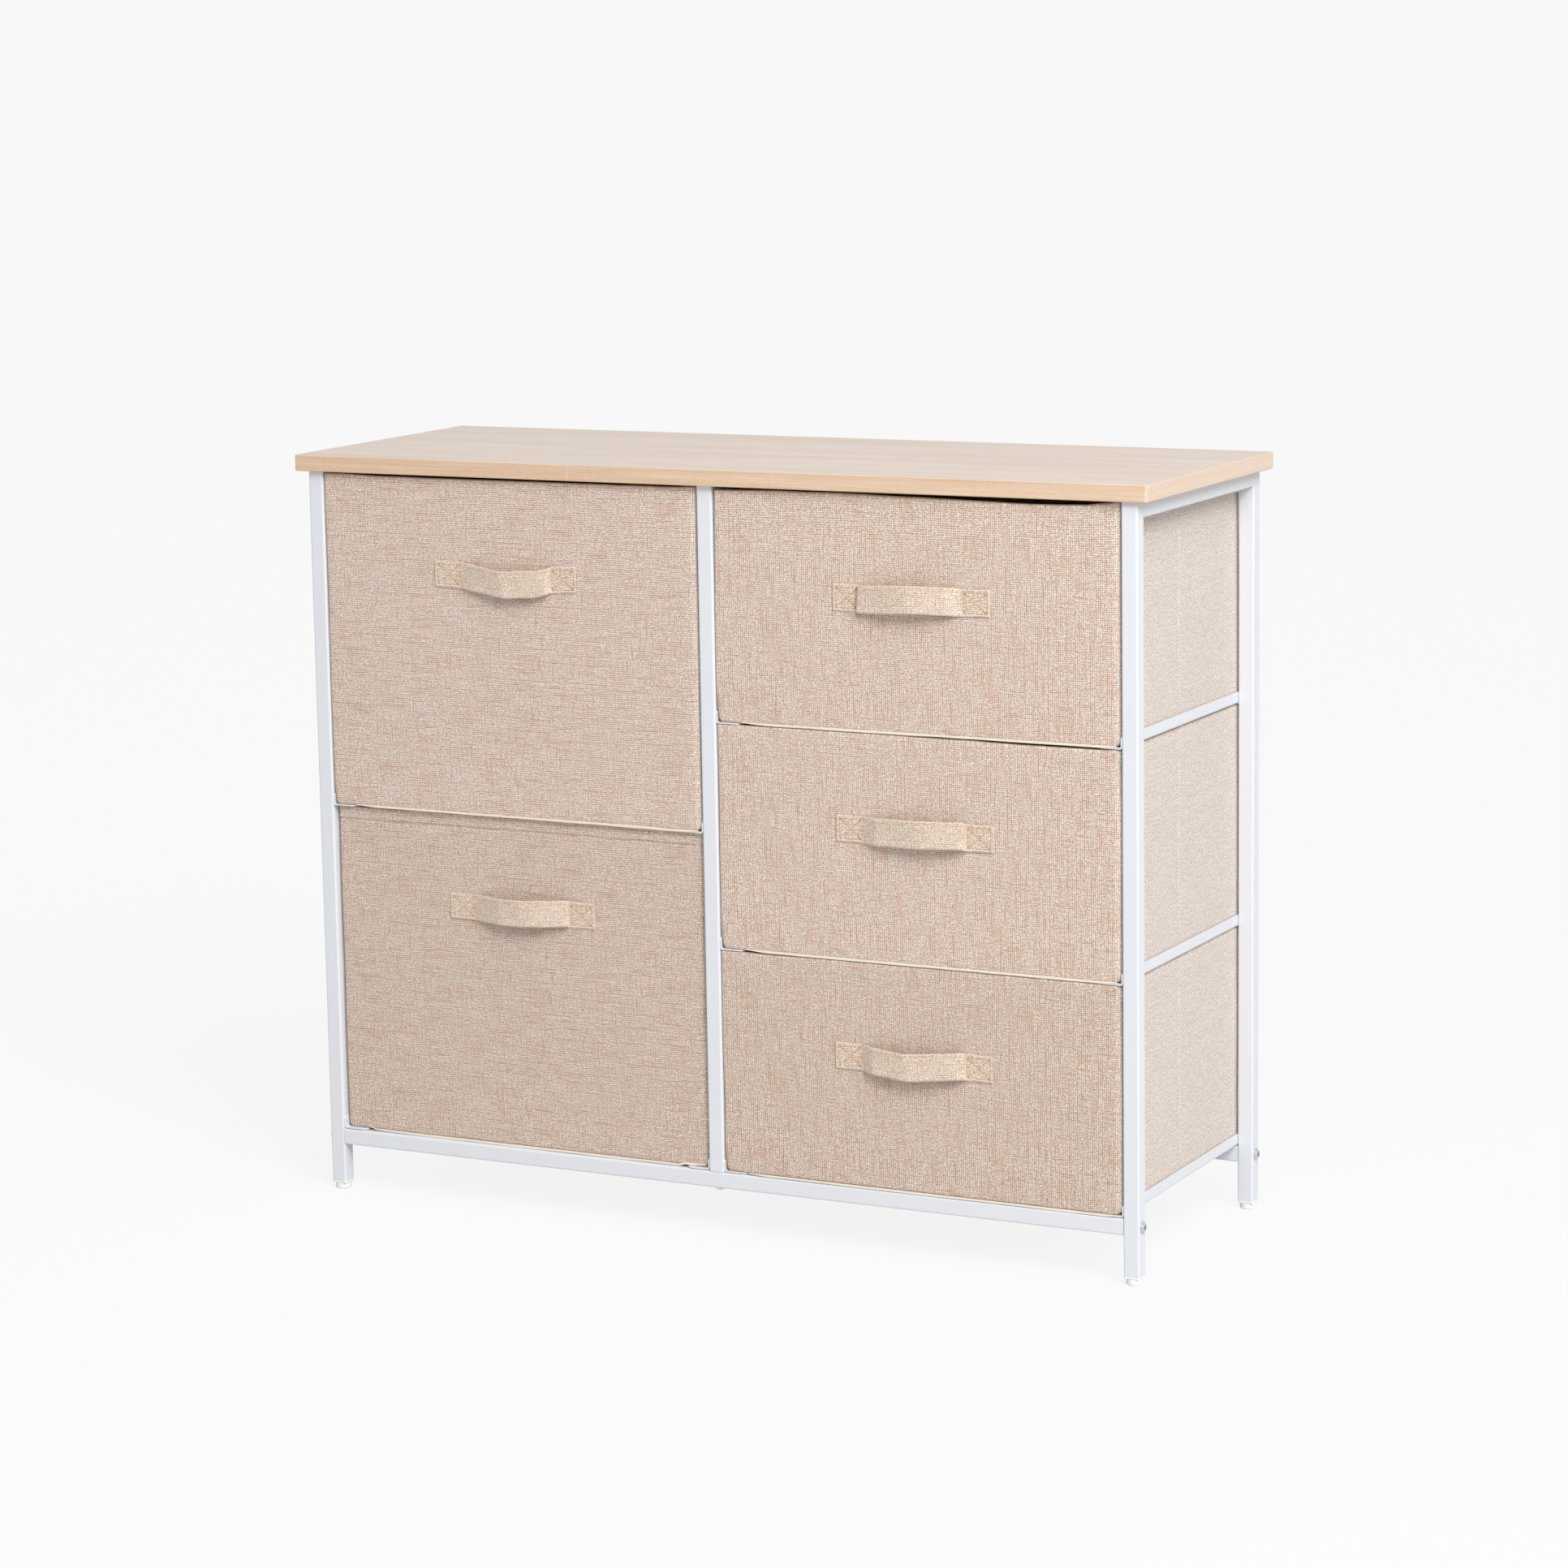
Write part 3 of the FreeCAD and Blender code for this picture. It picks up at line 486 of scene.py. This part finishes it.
def through(stops, where):
    """Smooth curve through (place, value) stops: between two stops the value goes
    over as a smooth step, so it is level at each stop."""
    places, values = np.array(stops, float).T
    after = np.clip(np.searchsorted(places, where, side="right"), 1, len(places) - 1)
    share = (where - places[after - 1]) / (places[after] - places[after - 1])
    return values[after - 1] + (values[after] - values[after - 1]) * smooth_step(share)


# ---------------------------------------------------------------- drawer cloth
class Box:
    """A drawer's outer box, from its cover node: x, y are its middle in plan, y0 its
    front, z0 its underside, a and b half its width and depth, height its height."""

    def __init__(self, node_name):
        low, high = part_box(node_name)
        self.x, self.y = (low.x + high.x) / 2, (low.y + high.y) / 2
        self.y0, self.z0 = low.y, low.z
        self.a, self.b = (high.x - low.x) / 2, (high.y - low.y) / 2
        self.height = high.z - low.z


class Ring:
    """Stations round a rounded rectangle in plan, from the middle of the back round by
    the left side, the front and the right side. A station is its share of the way
    along the half width (fx) and half depth (fy), and the angle its wall faces."""

    def __init__(self, box, step, corner_steps):
        straight = (box.a - RIGHT_EDGE_R, box.b - RIGHT_EDGE_R)
        back = np.linspace(0, 1, int(straight[0] / (2 * step)))
        side = self.crowded(straight[1], step, FOLD_SHIFT / straight[1])
        front = np.linspace(-1, 1, int(2 * straight[0] / step))
        turn = np.linspace(0, math.pi / 2, corner_steps + 1)
        runs = [
            (-back, 1 + 0 * back, math.pi / 2 + 0 * back),
            (-1 + 0 * turn, 1 + 0 * turn, math.pi / 2 + turn),
            (-1 + 0 * side, -side, math.pi + 0 * side),
            (-1 + 0 * turn, -1 + 0 * turn, math.pi + turn),
            (front, -1 + 0 * front, 1.5 * math.pi + 0 * front),
            (1 + 0 * turn, -1 + 0 * turn, 1.5 * math.pi + turn),
            (1 + 0 * side, side, 2 * math.pi + 0 * side),
            (1 + 0 * turn, 1 + 0 * turn, 2 * math.pi + turn),
            (back[::-1], 1 + 0 * back, 2.5 * math.pi + 0 * back),
        ]
        self.fx, self.fy, self.angle = (np.concatenate(parts) for parts in zip(*runs))
        self.box = box
        self.corner = LEFT_EDGE_R + (RIGHT_EDGE_R - LEFT_EDGE_R) * (1 + self.fx) / 2
        x, y = self.at(0.0, 1)
        lengths = np.hypot(np.diff(x), np.diff(y))
        self.u = np.concatenate([[0], np.cumsum(lengths)])
        self.u -= np.interp(1.5 * math.pi, self.angle + self.fx * 1e-3, self.u)

    @staticmethod
    def crowded(half, step, spot):
        """Shares from -1 to 1 about step apart, with five more close round the spot."""
        even = np.linspace(-1, 1, int(2 * half / step))
        near = spot + np.array([-2.4, -1.2, 0, 1.2, 2.4]) * MM / half
        return np.sort(np.concatenate([even[np.abs(even - spot) > 3 * MM / half], near]))

    def at(self, inset, share):
        """x and y of the stations of the ring at this inset, its corners rounded by
        this share of their radius."""
        radius = self.corner * share
        x = self.fx * (self.box.a - inset - radius) + radius * np.cos(self.angle)
        y = self.fy * (self.box.b - inset - radius) + radius * np.sin(self.angle)
        return x, y


def walls(ring, inset, height, push, share=1):
    """Points of a wall surface: for each row an inset and a height, for each station a
    push outwards along the way the wall faces."""
    x, y = ring.at(inset, share)
    x = ring.box.x + x + push * np.cos(ring.angle)
    y = ring.box.y + y + push * np.sin(ring.angle)
    return np.stack(np.broadcast_arrays(x, y, ring.box.z0 + height), axis=-1)


def cover_rows(height, step):
    """Profile of the cover from the hem's inner edge over the rim, down the outside
    and under the floor to its middle: inset, height and V of each row. The lower
    round is given as an angle, for each station to set its own radius."""
    hem = np.linspace(height - HEM, height - RIM_R, 6)
    over = np.linspace(0, math.pi, 11)[1:-1]
    crease = height - HEM + np.array([2.5, 1.2, 0.5, 0, -0.5, -1.2, -2.5]) * MM
    plain = np.linspace(height - RIM_R, LOW_SIDE_R + 1 * MM, int(height / step))
    plain = plain[np.abs(plain - (height - HEM)) > 3 * MM]
    outside = np.sort(np.concatenate([plain, crease]))[::-1]
    half = WALL / 2
    inset = np.concatenate([WALL + 0 * hem, half + half * np.cos(over), 0 * outside])
    level = np.concatenate([hem, height - RIM_R + RIM_R * np.sin(over), outside])
    v = np.concatenate([2 * height - hem, height + half * np.cos(over), outside])
    return inset, level, v


def cover_points(ring, look):
    """The cover as one surface. Rows follow cover_rows, then a quarter turn under the
    lower edge, with a radius that is small at the front and back and larger along the
    sides, then the floor to its middle line. Each point is pushed along its wall's
    facing by ripples, the hem's sewn groove and the fold crease. The rim is lifted or
    sunk as the drawer's stops say, with the 45 mm below it following less and less,
    and the left wall leans in, most at the front."""
    box = ring.box
    inset, level, v = cover_rows(box.height, 5 * MM)
    inset, level, v = (row[:, None] for row in (inset, level, v))
    facing_x, facing_y = np.cos(ring.angle), np.sin(ring.angle)
    front = smooth_step(-facing_y)
    side = smooth_step(np.abs(facing_x))
    x, y = ring.at(0.0, 1)

    loose = smooth_step((level - 12 * MM) / (40 * MM)) * smooth_step((box.height - level) / (25 * MM))
    sway = ripple(ring.u, v, 150 * MM, look["seed"]) * loose
    pucker = ripple(ring.u, v, 34 * MM, look["seed"] + 50)
    push = sway * (FRONT_SWAY * front + SIDE_SWAY * side) + pucker * PUCKER
    outer = inset < WALL / 2
    below_hem = v - (box.height - HEM)
    hem = 0.25 * bump(below_hem - 1.6 * MM, 1.2 * MM) - 0.35 * bump(below_hem, 0.8 * MM)
    push = push + outer * look["hem"] * MM * hem
    fold = side * bump(y - FOLD_SHIFT, FOLD_WIDTH) * smooth_step((level - 8 * MM) / (10 * MM))
    push = np.where(outer, push - FOLD_DEPTH * fold, 0)

    forward = smooth_step(-y / box.b)
    lift = through(look["rim"], (x + box.a) / (2 * box.a)) * forward + BACK_LIFT * (1 - forward)
    on_side = through(look.get("side_rim", [(0, 0), (1, 0)]), (y + box.b) / (2 * box.b))
    lift = lift + on_side * smooth_step(1 - (box.a - x) / (20 * MM))
    lift = (lift + ripple(ring.u, 0, 40 * MM, look["seed"] + 9) * RIM_WAVER) * MM
    level = level + lift * smooth_step((level - (box.height - 45 * MM)) / (45 * MM))
    upper = walls(ring, inset, level, push)
    foot, head = look["lean"]
    lean = (foot + (head - foot) * smooth_step((level / box.height - 0.25) / 0.75)) * smooth_step(level / (24 * MM))
    lean = lean * MM * forward
    upper[..., 0] += lean * smooth_step(1 - (x + box.a) / (40 * MM))

    low_r = LOW_END_R + (LOW_SIDE_R - LOW_END_R) * side
    turn = np.linspace(0, math.pi / 2, 7)[:, None]
    bottom = walls(ring, low_r * (1 - np.cos(turn)), low_r * (1 - np.sin(turn)), 0)
    spread = np.linspace(0, 1, 7)[1:, None]
    depth = low_r + (box.b - low_r) * spread
    floor = walls(ring, depth, 0 * depth, 0, 1 - spread)
    points = np.concatenate([upper, bottom, floor])
    v = np.concatenate([np.broadcast_to(v, upper.shape[:2]), low_r * (1 - turn), -depth])
    return points, np.stack(np.broadcast_arrays(ring.u, v), axis=-1)


def drawer_cover(name, look):
    box = Box(f"{name}_drawer_cover")
    ring = Ring(box, 5 * MM, 6)
    points, uv = cover_points(ring, look)
    # Round the front edges, from SIDE_CLOTH on, the cloth changes to the paler side cloth: painted sheen.
    middle = (ring.angle[1:] + ring.angle[:-1]) / 2
    front = (middle > 1.5 * math.pi - SIDE_CLOTH[0]) & (middle < 1.5 * math.pi + SIDE_CLOTH[1])
    front = np.broadcast_to(front, (len(points) - 1, len(front)))
    piece = surface(f"{name}_fabric_cover", points, uv, [look.get("cloth", LINEN), SIDE_LINEN_PAINTED_SHEEN], choice=~front,
                    turned=front & look["upright"])
    wall = piece.modifiers.new("cloth", "SOLIDIFY")
    wall.thickness = CLOTH
    wall.offset = -1
    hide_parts(f"{name}_drawer_cover")
    return piece, box


def drawer_lining(name, look, box):
    """The lining, seen from above: walls from behind the hem down to the floor, which
    it crosses to its middle line. Its walls billow in a little between the corners."""
    ring = Ring(box, 9 * MM, 4)
    level = np.linspace(box.height - HEM + 4 * MM, LINING_FLOOR + 4 * MM, int(box.height / (10 * MM)))[:, None]
    billow = ripple(ring.u, level, 110 * MM, look["seed"] + 70) * 0.5 - 0.3
    slack = smooth_step((box.height - HEM - level) / (40 * MM)) * smooth_step(level / (30 * MM))
    upper = walls(ring, LINING_WALL, level, billow * slack * MM, 0.5)
    spread = np.linspace(0, 1, 7)[:, None]
    inset = LINING_WALL + (box.b - LINING_WALL) * spread
    floor = walls(ring, inset, LINING_FLOOR + 0 * spread, 0, 0.5 * (1 - spread))
    points = np.concatenate([upper, floor])[:, ::-1]
    v = np.concatenate([level, -inset])
    uv = np.stack(np.broadcast_arrays(ring.u, v), axis=-1)[:, ::-1]
    piece = surface(f"{name}_lining_cloth", points, uv, [LINING])
    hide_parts(f"{name}_drawer_lining")
    return piece


def drawer_binding(name, look, box):
    """Tape folded round the seam along the front's lower edge, in front of the runners'
    ends: a flat loop of section carried along X. Its lower edge follows the drawer's
    binding stops. It starts thin beside the left runner, thins again over the right
    one, and wavers a little in height and stand-off."""
    x = np.linspace(BINDING_START - box.a, box.a - 1.5 * MM, 150)
    turn = np.linspace(0, 2 * math.pi, 15)
    from_left, from_right = x - x[0], x[-1] - x
    waver = ripple(x, 0 * x, 46 * MM, look["seed"] + 3)
    low = through(look["binding"], (x + box.a) / (2 * box.a)) * MM
    full = (0.4 + 0.6 * smooth_step(from_left / (24 * MM))) * (0.55 + 0.45 * smooth_step(from_right / (16 * MM)))
    closing = np.sqrt(np.clip(np.minimum(from_left, from_right) / (1.2 * MM), 0, 1))
    half = BINDING_HEIGHT / 2 * full * (1 + 0.1 * waver)
    centre = low + BINDING_HEIGHT - half
    high = np.sign(np.sin(turn)) * np.abs(np.sin(turn)) ** 0.45
    out = -np.sign(np.cos(turn)) * np.abs(np.cos(turn)) ** 0.7
    y = box.y0 - BINDING_PROUD + BINDING_THICK / 2 * (1 + (out * closing[:, None])) + 0.1 * MM * waver[:, None] ** 2
    z = box.z0 + centre[:, None] + half[:, None] * high * closing[:, None]
    points = np.stack(np.broadcast_arrays(box.x + x[:, None], y, z), axis=-1)
    uv = np.stack(np.broadcast_arrays(x[:, None], turn / (2 * math.pi) * 8 * MM), axis=-1)
    piece = surface(f"{name}_hem_binding", points.transpose(1, 0, 2), uv.transpose(1, 0, 2), [TAPE])
    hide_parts(f"{name}_drawer_binding")
    return piece


# ---------------------------------------------------------------- handles
def strap_middle(look, middle_x, front_y, top_z):
    """Middle surface of the strap, a sheet ruled between its upper and lower edges.
    Both edges run through the same stops; runs between the stops are straight, and a
    moving average rounds them where they meet."""
    stops = np.array(look["strap"], float) * MM
    flat = STRAP_THICK / 2
    first, last = stops[0, 0] - PATCH, stops[-1, 0] + PATCH
    ends = [[first, flat, 0, 0, 0]], [[last, flat, 0, 0, 0]]
    stops = np.concatenate([ends[0], stops, ends[1]])
    stops[0, 2], stops[-1, 2] = stops[1, 2] * 0.5, stops[-2, 2] * 0.5
    along = np.concatenate([[0], np.cumsum(np.hypot(np.diff(stops[:, 0]), np.diff(stops[:, 1])))])
    s = np.linspace(0, along[-1], 190)
    kernel = bump(np.arange(-4, 5), 2.0)
    kernel /= kernel.sum()

    def rounded(values):
        run = np.interp(s, along, values)
        return np.convolve(np.pad(run, 4, mode="reflect", reflect_type="odd"), kernel, mode="valid")

    x, out, sag, slant, swing = (rounded(column) for column in stops.T)
    t = np.linspace(0, 1, 29)[:, None]
    droop = ripple(s, t * STRAP_HEIGHT, 26 * MM, look["seed"] + 30) * smooth_step((out - 2 * MM) / (6 * MM))
    points = np.stack(np.broadcast_arrays(
        middle_x + x + slant * t,
        front_y - out - swing * t - 0.25 * MM * droop,
        top_z - sag - t * STRAP_HEIGHT,
    ), axis=-1)
    return points, s, t


def sewn_lines(s, t):
    """1 along the stitch lines of both patches and 0 away from them, from the distance
    to the borders and diagonals of each sewn rectangle."""
    total = 0
    low, high = SEWN_TOP, 1 - SEWN_TOP
    for near, far in sewn_spans(s[-1]):
        across, along = (t - low) / (high - low), (s - near) / (far - near)
        inside = (np.abs(across - 0.5) < 0.54) & (np.abs(along - 0.5) < 0.54)
        borders = np.minimum(np.abs(np.abs(along - 0.5) - 0.5), np.abs(np.abs(across - 0.5) - 0.5))
        diagonals = np.minimum(np.abs(along - across), np.abs(along + across - 1)) * 0.7
        total = total + inside * bump(np.minimum(borders, diagonals) * (far - near), 0.9 * MM)
    return np.clip(total, 0, 1)


def sewn_spans(length):
    """Start and end, along the strap, of each patch's sewn rectangle."""
    return (SEWN_OUTER, PATCH - SEWN_INNER), (length - PATCH + SEWN_INNER, length - SEWN_OUTER)


def strap_handle(name, look, box):
    """Strap with its edges turned in and sewn: the middle surface thickened along its
    normal, thicker within 3 mm of either edge and closed to nothing at every border."""
    low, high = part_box(f"{name}_drawer_handle")
    middle_x = (low.x + high.x) / 2
    middle, s, t = strap_middle(look, middle_x, box.y0, box.z0 + box.height - STRAP_DROP)
    across = np.gradient(middle, axis=0)
    along = np.gradient(middle, axis=1)
    normal = np.cross(across, along)
    normal /= np.linalg.norm(normal, axis=-1, keepdims=True)
    edge = np.minimum(t, 1 - t) * STRAP_HEIGHT
    end = np.minimum(s, s[-1] - s)
    closing = np.sqrt(np.clip(edge / (0.9 * MM), 0, 1)) * np.sqrt(np.clip(end / (0.9 * MM), 0, 1))
    folded = 1 + 0.35 * smooth_step((4.2 * MM - edge) / (0.8 * MM)) + 0.2 * smooth_step((3.5 * MM - end) / (0.8 * MM))
    sewn = sewn_lines(s, t)
    half = (STRAP_THICK / 2 * closing * folded * (1 - 0.55 * sewn))[..., None]
    outside = middle + normal * half
    inside = middle - normal * half
    points = np.concatenate([outside, inside[::-1]])
    v = np.concatenate([t, t[::-1]]) * STRAP_HEIGHT
    uv = np.stack(np.broadcast_arrays(s, v), axis=-1)
    piece = surface(f"{name}_strap_handle", points, uv, [WEBBING])
    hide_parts(f"{name}_drawer_handle")
    return piece, outside, s


def stitch_row(start, end):
    """Start and end points of a row of stitches between two points."""
    length = np.linalg.norm(end - start)
    count = max(1, round(length / (STITCH + STITCH_GAP)))
    edges = np.linspace(0, 1, count + 1)
    gap = STITCH_GAP / 2 / length
    shares = np.stack([edges[:-1] + gap, edges[1:] - gap], axis=-1)[..., None]
    return start + (end - start) * shares


def stitches(name, pairs, out):
    """Sewn stitches as one mesh. Each is a thread from pairs[:, 0] to pairs[:, 1],
    thickest in its middle and pressed into the cloth at its ends: five rings of six
    points, whose radius and height follow half a sine wave."""
    rise = np.sin(np.linspace(0.0, math.pi, 5))
    turn = np.linspace(0, 2 * math.pi, 7)
    share = np.linspace(0, 1, 5)[None, :, None]
    centre = pairs[:, None, 0] * (1 - share) + pairs[:, None, 1] * share
    direction = pairs[:, 1] - pairs[:, 0]
    direction /= np.linalg.norm(direction, axis=-1, keepdims=True)
    sideways = np.cross(direction, out)
    radius = THREAD_R * rise[None, :, None]
    centre = centre + out * (rise[None, :, None] * 0.2 * MM - 0.05 * MM)
    around = np.cos(turn)[:, None] * sideways[:, None, None] + np.sin(turn)[:, None] * out
    rings = centre[:, :, None] + radius[..., None] * around
    count = len(pairs)
    index = np.arange(count * 35).reshape(count, 5, 7)
    corners = (np.s_[:, :-1, :-1], np.s_[:, 1:, :-1], np.s_[:, 1:, 1:], np.s_[:, :-1, 1:])
    quads = np.stack([index[c] for c in corners], axis=-1).reshape(-1, 4)
    mesh = bpy.data.meshes.new(name)
    mesh.from_pydata(rings.reshape(-1, 3).tolist(), [], quads.tolist())
    uv = np.stack(np.broadcast_arrays(share * STITCH, turn * THREAD_R), axis=-1)
    uv = np.broadcast_to(uv, (count, 5, 7, 2))
    loops = np.stack([uv[c] for c in corners], axis=-2)
    mesh.uv_layers.new(name="cloth").data.foreach_set("uv", loops.astype(np.float32).ravel())
    mesh.materials.append(SEWING_THREAD)
    mesh.shade_smooth()
    tidy = bmesh.new()
    tidy.from_mesh(mesh)
    bmesh.ops.remove_doubles(tidy, verts=tidy.verts, dist=2e-7)
    bmesh.ops.recalc_face_normals(tidy, faces=tidy.faces)
    tidy.to_mesh(mesh)
    tidy.free()
    piece = bpy.data.objects.new(name, mesh)
    bpy.context.scene.collection.objects.link(piece)
    return piece


def handle_stitching(name, outside, s):
    """A sewn rectangle with a cross on each patch, and a second row on the loop's side, whose dark thread stands in
    part for the shade where the loop leaves the patch.
    """
    pairs = []
    last = outside.shape[0] - 1
    top, bottom = round(last * SEWN_TOP), round(last * (1 - SEWN_TOP))
    for near, far in sewn_spans(s[-1]):
        second = far - SECOND_ROW if near < s[-1] / 2 else near + SECOND_ROW
        left, right, again = (np.searchsorted(s, place) for place in (near, far, second))
        corners = [outside[top, left], outside[top, right], outside[bottom, right], outside[bottom, left],
                   outside[top, again], outside[bottom, again]]
        order = [(0, 1), (1, 2), (2, 3), (3, 0), (0, 2), (1, 3), (4, 5)]
        pairs += [stitch_row(corners[a], corners[b]) for a, b in order]
    return stitches(f"{name}_handle_stitching", np.concatenate(pairs), np.array([0.0, -1.0, 0.0]))


# ---------------------------------------------------------------- assembly
def plain_nodes():
    """Finish of each CAD node that keeps its shape."""
    kinds = {
        "tabletop": "tabletop", "_post": "steel", "_top_rail": "steel", "_crossbar": "steel", "_runners": "steel",
        "frame_bolts": "zinc", "threaded_inserts": "zinc", "tabletop_screws": "yellow_zinc", "foot_plugs": "plastic",
        "_foot": "plastic", "_floor_board": "fibreboard", "_front_board": "fibreboard", "_back_boards": "grey_board",
    }
    for name, piece in frame["nodes"].items():
        kind = next((kind for ending, kind in kinds.items() if name.endswith(ending)), None)
        if kind:
            for slot in piece.material_slots:
                slot.material = FINISHES[kind]


plain_nodes()
# The lowest drawers wear the darker copy: painted shade.
for lowest in ("lower_left", "lower_right"):
    DRAWERS[lowest]["cloth"] = LOWER_LINEN_PAINTED_SHADE
for drawer_name, drawer_look in DRAWERS.items():
    body = f"{drawer_name}_drawer"
    cover, cover_box = drawer_cover(drawer_name, drawer_look)
    lining = drawer_lining(drawer_name, drawer_look, cover_box)
    binding = drawer_binding(drawer_name, drawer_look, cover_box)
    strap, strap_face, strap_run = strap_handle(drawer_name, drawer_look, cover_box)
    sewing = handle_stitching(drawer_name, strap_face, strap_run)
    for soft in (cover, lining, binding, strap, sewing):
        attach(soft, body)

# ---------------------------------------------------------------- stage
CAMERA_PLACE = Vector((1.848174, -3.609519, 1.100767))
CAMERA_HEADING = math.radians(27.092)
CAMERA_TILT = math.radians(9.891)
CAMERA_ROLL = math.radians(-0.937)
FOCAL_PIXELS = 5491.354
IMAGE_PIXELS = 1932
SENSOR = 36.0
BACKDROP = "F8F8F8"
WORLD_LIGHT = 0.38
FLOOR_SHARE = 0.1          # share of the floor's brightness that light and shadow make
SUN = {"direction": (0.6, -0.45, 0.64), "strength": 1.5, "angle": 40}
SOFTBOX = {"place": (1.6, -1.6, 2.0), "power": 30.0, "size": 1.0}


def camera():
    """Camera at its measured place: its axes are the heading, tilt and roll in turn."""
    ahead = Vector((-math.sin(CAMERA_HEADING) * math.cos(CAMERA_TILT),
                    math.cos(CAMERA_HEADING) * math.cos(CAMERA_TILT), -math.sin(CAMERA_TILT)))
    right = ahead.cross(Vector((0, 0, 1))).normalized()
    up = right.cross(ahead)
    rolled_right = right * math.cos(CAMERA_ROLL) + up * math.sin(CAMERA_ROLL)
    rolled_up = up * math.cos(CAMERA_ROLL) - right * math.sin(CAMERA_ROLL)
    data = bpy.data.cameras.new("camera")
    data.sensor_width = SENSOR
    data.lens = FOCAL_PIXELS * SENSOR / IMAGE_PIXELS
    data.clip_end = 500
    made = bpy.data.objects.new("camera", data)
    bpy.context.scene.collection.objects.link(made)
    axes = Matrix((rolled_right, rolled_up, -ahead)).transposed()
    made.matrix_world = Matrix.Translation(CAMERA_PLACE) @ axes.to_4x4()
    bpy.context.scene.camera = made


def seen_directly(tree):
    """1 where a ray comes from the camera, or by way of gloss or glass."""
    path = node(tree, "LightPath").node.outputs
    seen = node(tree, "Math", {0: path["Is Camera Ray"], 1: path["Is Glossy Ray"]}, operation="MAXIMUM")
    return node(tree, "Math", {0: seen, 1: path["Is Transmission Ray"]}, operation="MAXIMUM")


def world():
    """Even white light from all round, which the camera sees as the backdrop."""
    made = bpy.data.worlds.new("studio")
    made.use_nodes = True
    tree = made.node_tree
    tree.nodes.clear()
    light = node(tree, "Background", {"Color": linear("FFFFFF"), "Strength": WORLD_LIGHT})
    backdrop = node(tree, "Background", {"Color": linear(BACKDROP), "Strength": 1.0})
    both = node(tree, "MixShader", {0: seen_directly(tree), 1: light, 2: backdrop})
    node(tree, "OutputWorld", {"Surface": both})
    bpy.context.scene.world = made


def lamps():
    """A wide sun from the right, and a softbox on the upper right near the object,
    whose light falls off across it."""
    sun = bpy.data.lights.new("sun", "SUN")
    sun.energy = SUN["strength"]
    sun.angle = math.radians(SUN["angle"])
    softbox = bpy.data.lights.new("softbox", "AREA")
    softbox.energy = SOFTBOX["power"]
    softbox.size = SOFTBOX["size"]
    aim = Vector(SOFTBOX["place"]) - Vector((0, 0, 0.35))
    for light, place, back in ((sun, (0, 0, 3), Vector(SUN["direction"])), (softbox, SOFTBOX["place"], aim)):
        made = bpy.data.objects.new(light.name, light)
        made.location = place
        made.rotation_mode = "QUATERNION"
        made.rotation_quaternion = back.to_track_quat("Z", "Y")
        bpy.context.scene.collection.objects.link(made)


def floor_light():
    """Light on the floor far from the softbox, in units at which white renders as
    white: the world's, and the sun's strength over pi times its slant."""
    return WORLD_LIGHT + SUN["strength"] / math.pi * Vector(SUN["direction"]).normalized().z


def studio_floor():
    """Pale floor: part of its brightness is lit, and so takes the shadow, and the rest
    is its own, so that unshaded floor has the backdrop's colour."""
    made, tree = material("studio_floor")
    pale = linear(BACKDROP)
    lit = node(tree, "BsdfDiffuse", {"Color": [c * FLOOR_SHARE for c in pale[:3]] + [1]})
    own = node(tree, "Emission", {"Color": pale, "Strength": 1 - FLOOR_SHARE * floor_light()})
    shown = node(tree, "AddShader", {0: lit, 1: own})
    plain = node(tree, "BsdfDiffuse", {"Color": linear("E4E4E4")})
    both = node(tree, "MixShader", {0: seen_directly(tree), 1: plain, 2: shown})
    node(tree, "OutputMaterial", {"Surface": both})
    half = 300.0
    mesh = bpy.data.meshes.new("studio_floor")
    mesh.from_pydata([(-half, -half, 0), (half, -half, 0), (half, half, 0), (-half, half, 0)], [], [(0, 1, 2, 3)])
    mesh.materials.append(made)
    floor = bpy.data.objects.new("studio_floor", mesh)
    bpy.context.scene.collection.objects.link(floor)


camera()
world()
lamps()
studio_floor()
bpy.context.scene.view_settings.view_transform = "Standard"
